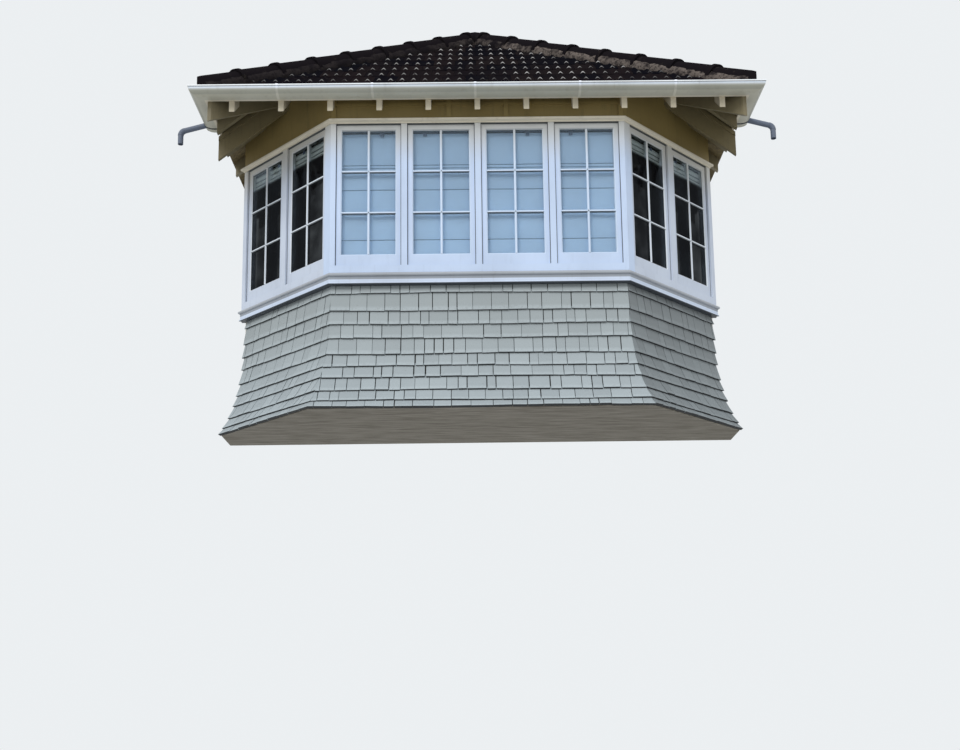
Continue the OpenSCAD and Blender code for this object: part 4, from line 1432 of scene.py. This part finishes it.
@dataclass
class WindowCloths:
    """Folding blinds, let down in front and raised at the sides, and gathered curtains.

    The blind of the right-hand front sash hangs short of its right side.
    """

    finishes: Finishes
    head: float = 2.233
    foot: float = 0.935
    seams: tuple[float, ...] = (1.919, 1.888, 1.674, 1.434, 1.186)
    swell: float = 0.007
    raised_foot: float = 2.078
    raised_seams: tuple[float, ...] = (2.176, 2.132)
    raised_swell: float = 0.05
    inset: float = 0.019
    short: float = 0.034
    blind_depth: float = 0.083
    blind_cloth: float = 0.0009
    rail_inset: float = 0.016
    rail_foot: float = 2.230
    rail_head: float = 2.280
    rail_depths: tuple[float, float] = (0.072, 0.092)
    bracket_width: float = 0.036
    bracket_heights: tuple[float, float] = (2.198, 2.2325)
    bracket_depths: tuple[float, float] = (0.0680, 0.0700)
    curtain_foot: float = 0.90
    curtain_head: float = 2.262
    curtain_middles: tuple[float, float] = (0.640, 1.115)
    curtain_width: float = 0.15
    curtain_fall: float = 1.36
    curtain_cloth: float = 0.0010
    rod_ends: tuple[float, float] = (0.10, 1.20)
    rod_depth: float = 0.150
    rod_z: float = 2.268
    rod_radius: float = 0.008
    holders: tuple[float, ...] = (0.13, 0.71, 1.17)
    holder_width: float = 0.012
    holder_heights: tuple[float, float] = (2.258, 2.300)
    holder_depths: tuple[float, float] = (0.110, 0.156)

    def blind(
        self, opening: Opening, seams: tuple[float, ...], foot: float, bulge: float, seed: int
    ) -> None:
        """Hangs one blind: cloth that swells forward down to each seam and is tucked back there.

        The swell is a power of the sine of half a turn from seam to seam, flatter for short
        folds. The tuck falls from 1 at a seam to nought a few millimetres off it.

        Args:
            opening: the sash that it hangs behind.
            seams: the heights of its seams, from the top down.
            foot: its lower edge.
            bulge: how far the cloth swells between seams.
            seed: starts its small unevenness.
        """
        chance = np.random.default_rng(seed)
        face = FACES[opening.facing]
        drawn = opening.facing is Facing.FRONT
        t0, t1 = opening.within(self.inset)
        if opening.name == "front_4":
            t1 -= self.short
        marks = np.array([self.head, *seams, foot])
        near = np.array([-0.007, -0.005, -0.002, 0.0, 0.002, 0.005, 0.007])
        even, close = np.linspace(foot, self.head, 60), (marks[1:-1, None] + near).ravel()
        z = np.unique(np.concatenate([even, close]))
        at = np.clip(np.searchsorted(-marks, -z, "right") - 1, 0, len(marks) - 2)
        fall = marks[at] - marks[at + 1]
        share = (marks[at] - z) / fall
        swell = np.sin(math.pi * share**1.5) ** 0.8 * np.minimum(fall / 0.2, 1.0)
        off = np.abs(z[:, None] - marks[None, 1:-1]).min(1)
        tuck = np.clip(1.25 - off / 0.0042, 0, 1)
        s = np.linspace(0, 1, 15)
        phase = chance.uniform(0, 6.28, 2)
        z, swell, tuck = (row[:, None] for row in (z, swell, tuck))
        uneven = 0.0014 * np.sin(7 * s + 5 * z + phase[0]) + 0.001 * np.sin(17 * z + phase[1])
        forward = (bulge * swell - 0.004 * tuck) * (0.9 + 0.2 * np.sin(math.pi * s))
        depth = self.blind_depth - forward + uneven
        t = t0 + (t1 - t0) * s
        front, back = (face.at(t, -depth - behind, z)[None] for behind in (0.0, self.blind_cloth))
        builder = MeshBuilder()
        # The layer fold carries the painted shade of the seams.
        builder.shells(front, back, fold=np.broadcast_to(tuck, depth.shape))
        name = f"{opening.name}_{'drawn' if drawn else 'raised'}_blind"
        material = self.finishes.blind if drawn else self.finishes.raised
        piece = place(name, builder.mesh(name, 60.0), material)
        float(t1 - t0)

    def rails(self) -> None:
        """Fixes a head rail with a grey bracket over each blind; the near-black rail is painted shade at
        the panes' tops.
        """
        rail, bracket = MeshBuilder(), MeshBuilder()
        for opening in openings():
            face = FACES[opening.facing]
            t0, t1 = opening.within(self.rail_inset)
            rail.block(face, (t0, t1), (self.rail_foot, self.rail_head), self.rail_depths)
            share = 0.68 if opening.name.endswith(("1", "3")) else 0.22
            at = t0 + (t1 - t0) * share
            bracket.block(face, (at, at + self.bracket_width), self.bracket_heights, self.bracket_depths)
        # The near-black rail is painted shade along the top of the panes.
        place("blind_rails", rail.mesh("blind_rails"), self.finishes.strap)
        place("blind_brackets", bracket.mesh("blind_brackets"), self.finishes.pipe)

    def curtain(self, facing: Facing, number: int, middle: float) -> None:
        """Hangs one gathered curtain from the rod: a wave along its width, deeper at the foot.

        Args:
            facing: the side that it hangs on.
            number: counts the curtains of a side.
            middle: where its middle is along the face.
        """
        face = FACES[facing]
        s = np.linspace(0, 1, 61)
        z = np.linspace(self.curtain_foot, self.curtain_head, 28)[:, None]
        low = (self.curtain_head - z) / self.curtain_fall
        swing = 2 * math.pi * 5 * s + 0.5 * np.sin(3 * z + number)
        depth = self.rod_depth + (0.011 + 0.008 * low) * np.sin(swing)
        t = middle + self.curtain_width * (s - 0.5) * (1 + 0.05 * low) + 0.004 * np.cos(swing * 2)
        front, back = (face.at(t, -depth - behind, z)[None] for behind in (0.0, self.curtain_cloth))
        builder = MeshBuilder()
        builder.shells(front, back)
        name = f"{facing.value}_curtain_{number}"
        piece = place(name, builder.mesh(name, 60.0), self.finishes.curtain)

    def rod(self, facing: Facing) -> None:
        """Fixes a curtain rod inside a canted side, on three holders off the frame."""
        face = FACES[facing]
        turn = np.linspace(0, 2 * math.pi, 13)[:-1]
        out = self.rod_radius * np.cos(turn) - self.rod_depth
        z = self.rod_z + self.rod_radius * np.sin(turn)
        builder = MeshBuilder()
        builder.tubes(face.at(np.array(self.rod_ends)[:, None], out, z)[None])
        for at in self.holders:
            builder.block(face, (at, at + self.holder_width), self.holder_heights, self.holder_depths)
        name = f"{facing.value}_curtain_rod"
        place(name, builder.mesh(name, 40.0), self.finishes.strap)

    def build(self) -> None:
        """Makes the rails, the blinds and the curtains."""
        self.rails()
        for seed, opening in enumerate(openings()):
            if opening.facing is Facing.FRONT:
                self.blind(opening, self.seams, self.foot, self.swell, seed)
            else:
                self.blind(opening, self.raised_seams, self.raised_foot, self.raised_swell, seed)
        for facing in SIDES:
            self.rod(facing)
            for number, middle in enumerate(self.curtain_middles, 1):
                self.curtain(facing, number, middle)


@dataclass
class FriezeTrim:
    """Cover strip and upright battens on the frieze over the front frame.

    Depths are behind the frames' face, so what stands proud of it is less than nought.
    """

    material: bpy.types.Material
    strip_heights: tuple[float, float] = (2.470, 2.500)
    strip_depths: tuple[float, float] = (-0.004, 0.010)
    uprights: tuple[float, ...] = (-1.33, -0.265, 0.265, 1.33)
    upright_half: float = 0.021
    upright_heights: tuple[float, float] = (2.3355, 2.562)
    upright_depths: tuple[float, float] = (-0.008, 0.010)

    def build(self) -> bpy.types.Object:
        """Makes the strips, a little proud of the frieze's face.

        Returns:
            The piece.
        """
        builder = MeshBuilder()
        face = FACES[Facing.FRONT]
        builder.block(face, (-HALF_FRONT, HALF_FRONT), self.strip_heights, self.strip_depths)
        for x in self.uprights:
            ends = (x - self.upright_half, x + self.upright_half)
            builder.block(face, ends, self.upright_heights, self.upright_depths)
        return place("frieze_strips", builder.mesh("frieze_strips"), self.material)


@dataclass
class Studio:
    """The camera at the photograph's place, a pale floor and soft light.

    The world's two backgrounds are given by a colour and a strength.
    """

    place_m: tuple[float, float, float] = (-0.0743, -11.2030, -3.1086)
    yaw: float = math.radians(0.3054)
    pitch: float = math.radians(10.3235)
    roll: float = math.radians(-0.7117)
    focal_px: float = 1186.0
    centre_px: tuple[float, float] = (480.0, 500.0)
    sensor_mm: float = 36.0
    daylight: tuple[Color, float] = ((0.93, 0.97, 1.0), 0.62)
    backdrop: tuple[Color, float] = ((0.90, 0.93, 0.95), 0.93)
    floor_z: float = -5.45
    floor_half: float = 60.0
    floor_thick: float = 0.2

    def camera(self) -> None:
        """Sets the camera: its axes turn by yaw, then pitch, then roll."""
        level_share = math.cos(self.pitch)
        ahead = Vector(
            (math.sin(self.yaw) * level_share, math.cos(self.yaw) * level_share, math.sin(self.pitch))
        )
        level = Vector((math.cos(self.yaw), -math.sin(self.yaw), 0.0))
        upright = level.cross(ahead)
        right = level * math.cos(self.roll) + upright * math.sin(self.roll)
        up = upright * math.cos(self.roll) - level * math.sin(self.roll)
        data = bpy.data.cameras.new("photo_camera")
        data.sensor_width = self.sensor_mm
        data.lens = self.focal_px * data.sensor_width / IMAGE_WIDTH
        data.shift_x = -(self.centre_px[0] - IMAGE_WIDTH / 2) / IMAGE_WIDTH
        data.shift_y = (self.centre_px[1] - IMAGE_HEIGHT / 2) / IMAGE_WIDTH
        data.clip_end = 400.0
        camera = bpy.data.objects.new("photo_camera", data)
        turn = Matrix((right, up, -ahead)).transposed().to_4x4()
        camera.matrix_world = Matrix.Translation(self.place_m) @ turn
        bpy.context.scene.collection.objects.link(camera)
        bpy.context.scene.camera = camera

    def lamps(self) -> None:
        """Hangs the soft lamps."""
        for lamp in Light:
            turn, strength, soft = lamp.value
            data = bpy.data.lights.new(f"{lamp.name.lower()}_lamp", "SUN")
            data.energy = strength
            data.angle = math.radians(soft)
            made = bpy.data.objects.new(data.name, data)
            made.rotation_euler = [math.radians(a) for a in turn]
            bpy.context.scene.collection.objects.link(made)

    def world(self) -> None:
        """Lights the part evenly, with a pale backdrop for the camera, through glass and in gloss.

        The three kinds of ray are joined by their greatest value, which picks the backdrop.
        """
        tree = Tree("studio", world=True)
        greatest = {"operation": "MAXIMUM"}
        camera, through, gloss = (
            tree.node("ShaderNodeLightPath", out=f"Is {kind} Ray")
            for kind in ("Camera", "Transmission", "Glossy")
        )
        direct = tree.node("ShaderNodeMath", greatest, {0: camera, 1: through})
        seen = tree.node("ShaderNodeMath", greatest, {0: direct, 1: gloss})
        light, shown = (
            tree.node("ShaderNodeBackground", {}, {"Color": color, "Strength": strength})
            for color, strength in (self.daylight, self.backdrop)
        )
        mixed = tree.node("ShaderNodeMixShader", {}, {0: seen, 1: light, 2: shown})
        bpy.context.scene.world = tree.finish(mixed, "ShaderNodeOutputWorld")

    def floor(self) -> None:
        """Lays a wide pale floor well below the part."""
        tree = Tree("studio_floor")
        speck = tree.noise(tree.place(), 0.8, 2.0)
        color = tree.mix(speck, (0.66, 0.66, 0.65), (0.70, 0.70, 0.69))
        material = tree.finish(tree.principled(Base_Color=color, Roughness=0.9))
        builder = MeshBuilder()
        side = np.array([-self.floor_half, self.floor_half])
        x, y = np.meshgrid(side, side)
        top = np.stack([x, y, np.full(x.shape, self.floor_z)], -1)[None]
        builder.shells(top, top - np.array([0.0, 0.0, self.floor_thick]))
        mesh = builder.mesh("studio_floor")
        mesh.materials.append(material)
        floor = bpy.data.objects.new("studio_floor", mesh)
        bpy.context.scene.collection.objects.link(floor)

    def build(self) -> None:
        """Sets up everything that isn't part of the object."""
        scene = bpy.context.scene
        scene.view_settings.view_transform = "Standard"
        self.camera()
        self.lamps()
        self.world()
        self.floor()


def dress_solids(nodes: dict[str, bpy.types.Object], finishes: Finishes) -> None:
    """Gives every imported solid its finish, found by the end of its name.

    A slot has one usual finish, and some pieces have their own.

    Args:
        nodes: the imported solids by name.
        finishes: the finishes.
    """
    slots = {
        "cream_paint": (
            "ridge_board", "fascia", "head_mould", "rafters", "hip_rafter", "verge_board",
        ),
        "ochre_paint": ("frieze",),
        "gutter_paint": ("eaves_gutter",),
        "pipe_paint": ("spreader_pipe",),
        "shingle": ("skirt",),
        "roof_board": ("roof_boards",),
        "roof_tile": ("roof_tiles", "capping"),
        "framing_timber": ("wall_ledger", "skirt_soffit", "skirt_end"),
        "floor_timber": ("floor_boards",),
        "lining": ("bay_ceiling", "apron_wall"),
        "window_glass": ("glass_panes",),
    }
    usual = {
        "white_paint": finishes.white,
        "cream_paint": finishes.cream,
        "ochre_paint": finishes.ochre,
        "gutter_paint": finishes.gutter,
        "pipe_paint": finishes.pipe,
        "shingle": finishes.shingle,
        "roof_board": finishes.boards,
        "roof_tile": finishes.capping,
        "framing_timber": finishes.frame,
        "floor_timber": finishes.floor,
        "lining": finishes.lining,
        "window_glass": finishes.clear,
    }
    own = {
        ("head_mould", "fascia"): finishes.trim,
        ("window_sill",): finishes.sill,
        ("hip_rafter", "left_rafters", "right_rafters"): finishes.shade,
        # The skirts under the shingles are near black: painted shade in the gaps between shingles.
        ("skirt",): finishes.under,
        ("skirt_soffit", "skirt_end"): finishes.soffit,
        ("verge_board",): finishes.verge,
    }
    for facing in SIDES:
        joinery = tuple(f"{facing.value}_{kind}" for kind in ("window_frame", "sash_1", "sash_2"))
        own[joinery] = finishes.white_side
    for name, node in nodes.items():
        slot = next((slot for slot, ends in slots.items() if name.endswith(ends)), "white_paint")
        material = next((found for ends, found in own.items() if name.endswith(ends)), usual[slot])
        node.data.materials.clear()
        node.data.materials.append(material)
        LOG.info("%s: finished as %s", name, material.name)


def main() -> None:
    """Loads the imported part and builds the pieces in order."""
    logging.basicConfig(level=logging.INFO, format="%(message)s")
    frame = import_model()
    finishes = Finishes()
    Studio().build()
    dress_solids(frame["nodes"], finishes)
    apron = ShingledApron(finishes.shingle, finishes.dim_shingle)
    hood = TiledHood(finishes.tile, finishes.frame)
    for seed, facing in enumerate(Facing, 11):
        apron.build(facing, seed)
        hood.build(facing, seed + 10)
    hood.battens()
    Bedding(finishes.mortar).build()
    GutterFittings(finishes.gutter_strap, finishes.strap).build()
    Sashes(finishes).build()
    WindowCloths(finishes).build()
    FriezeTrim(finishes.ochre).build()


if __name__ == "__main__":
    main()
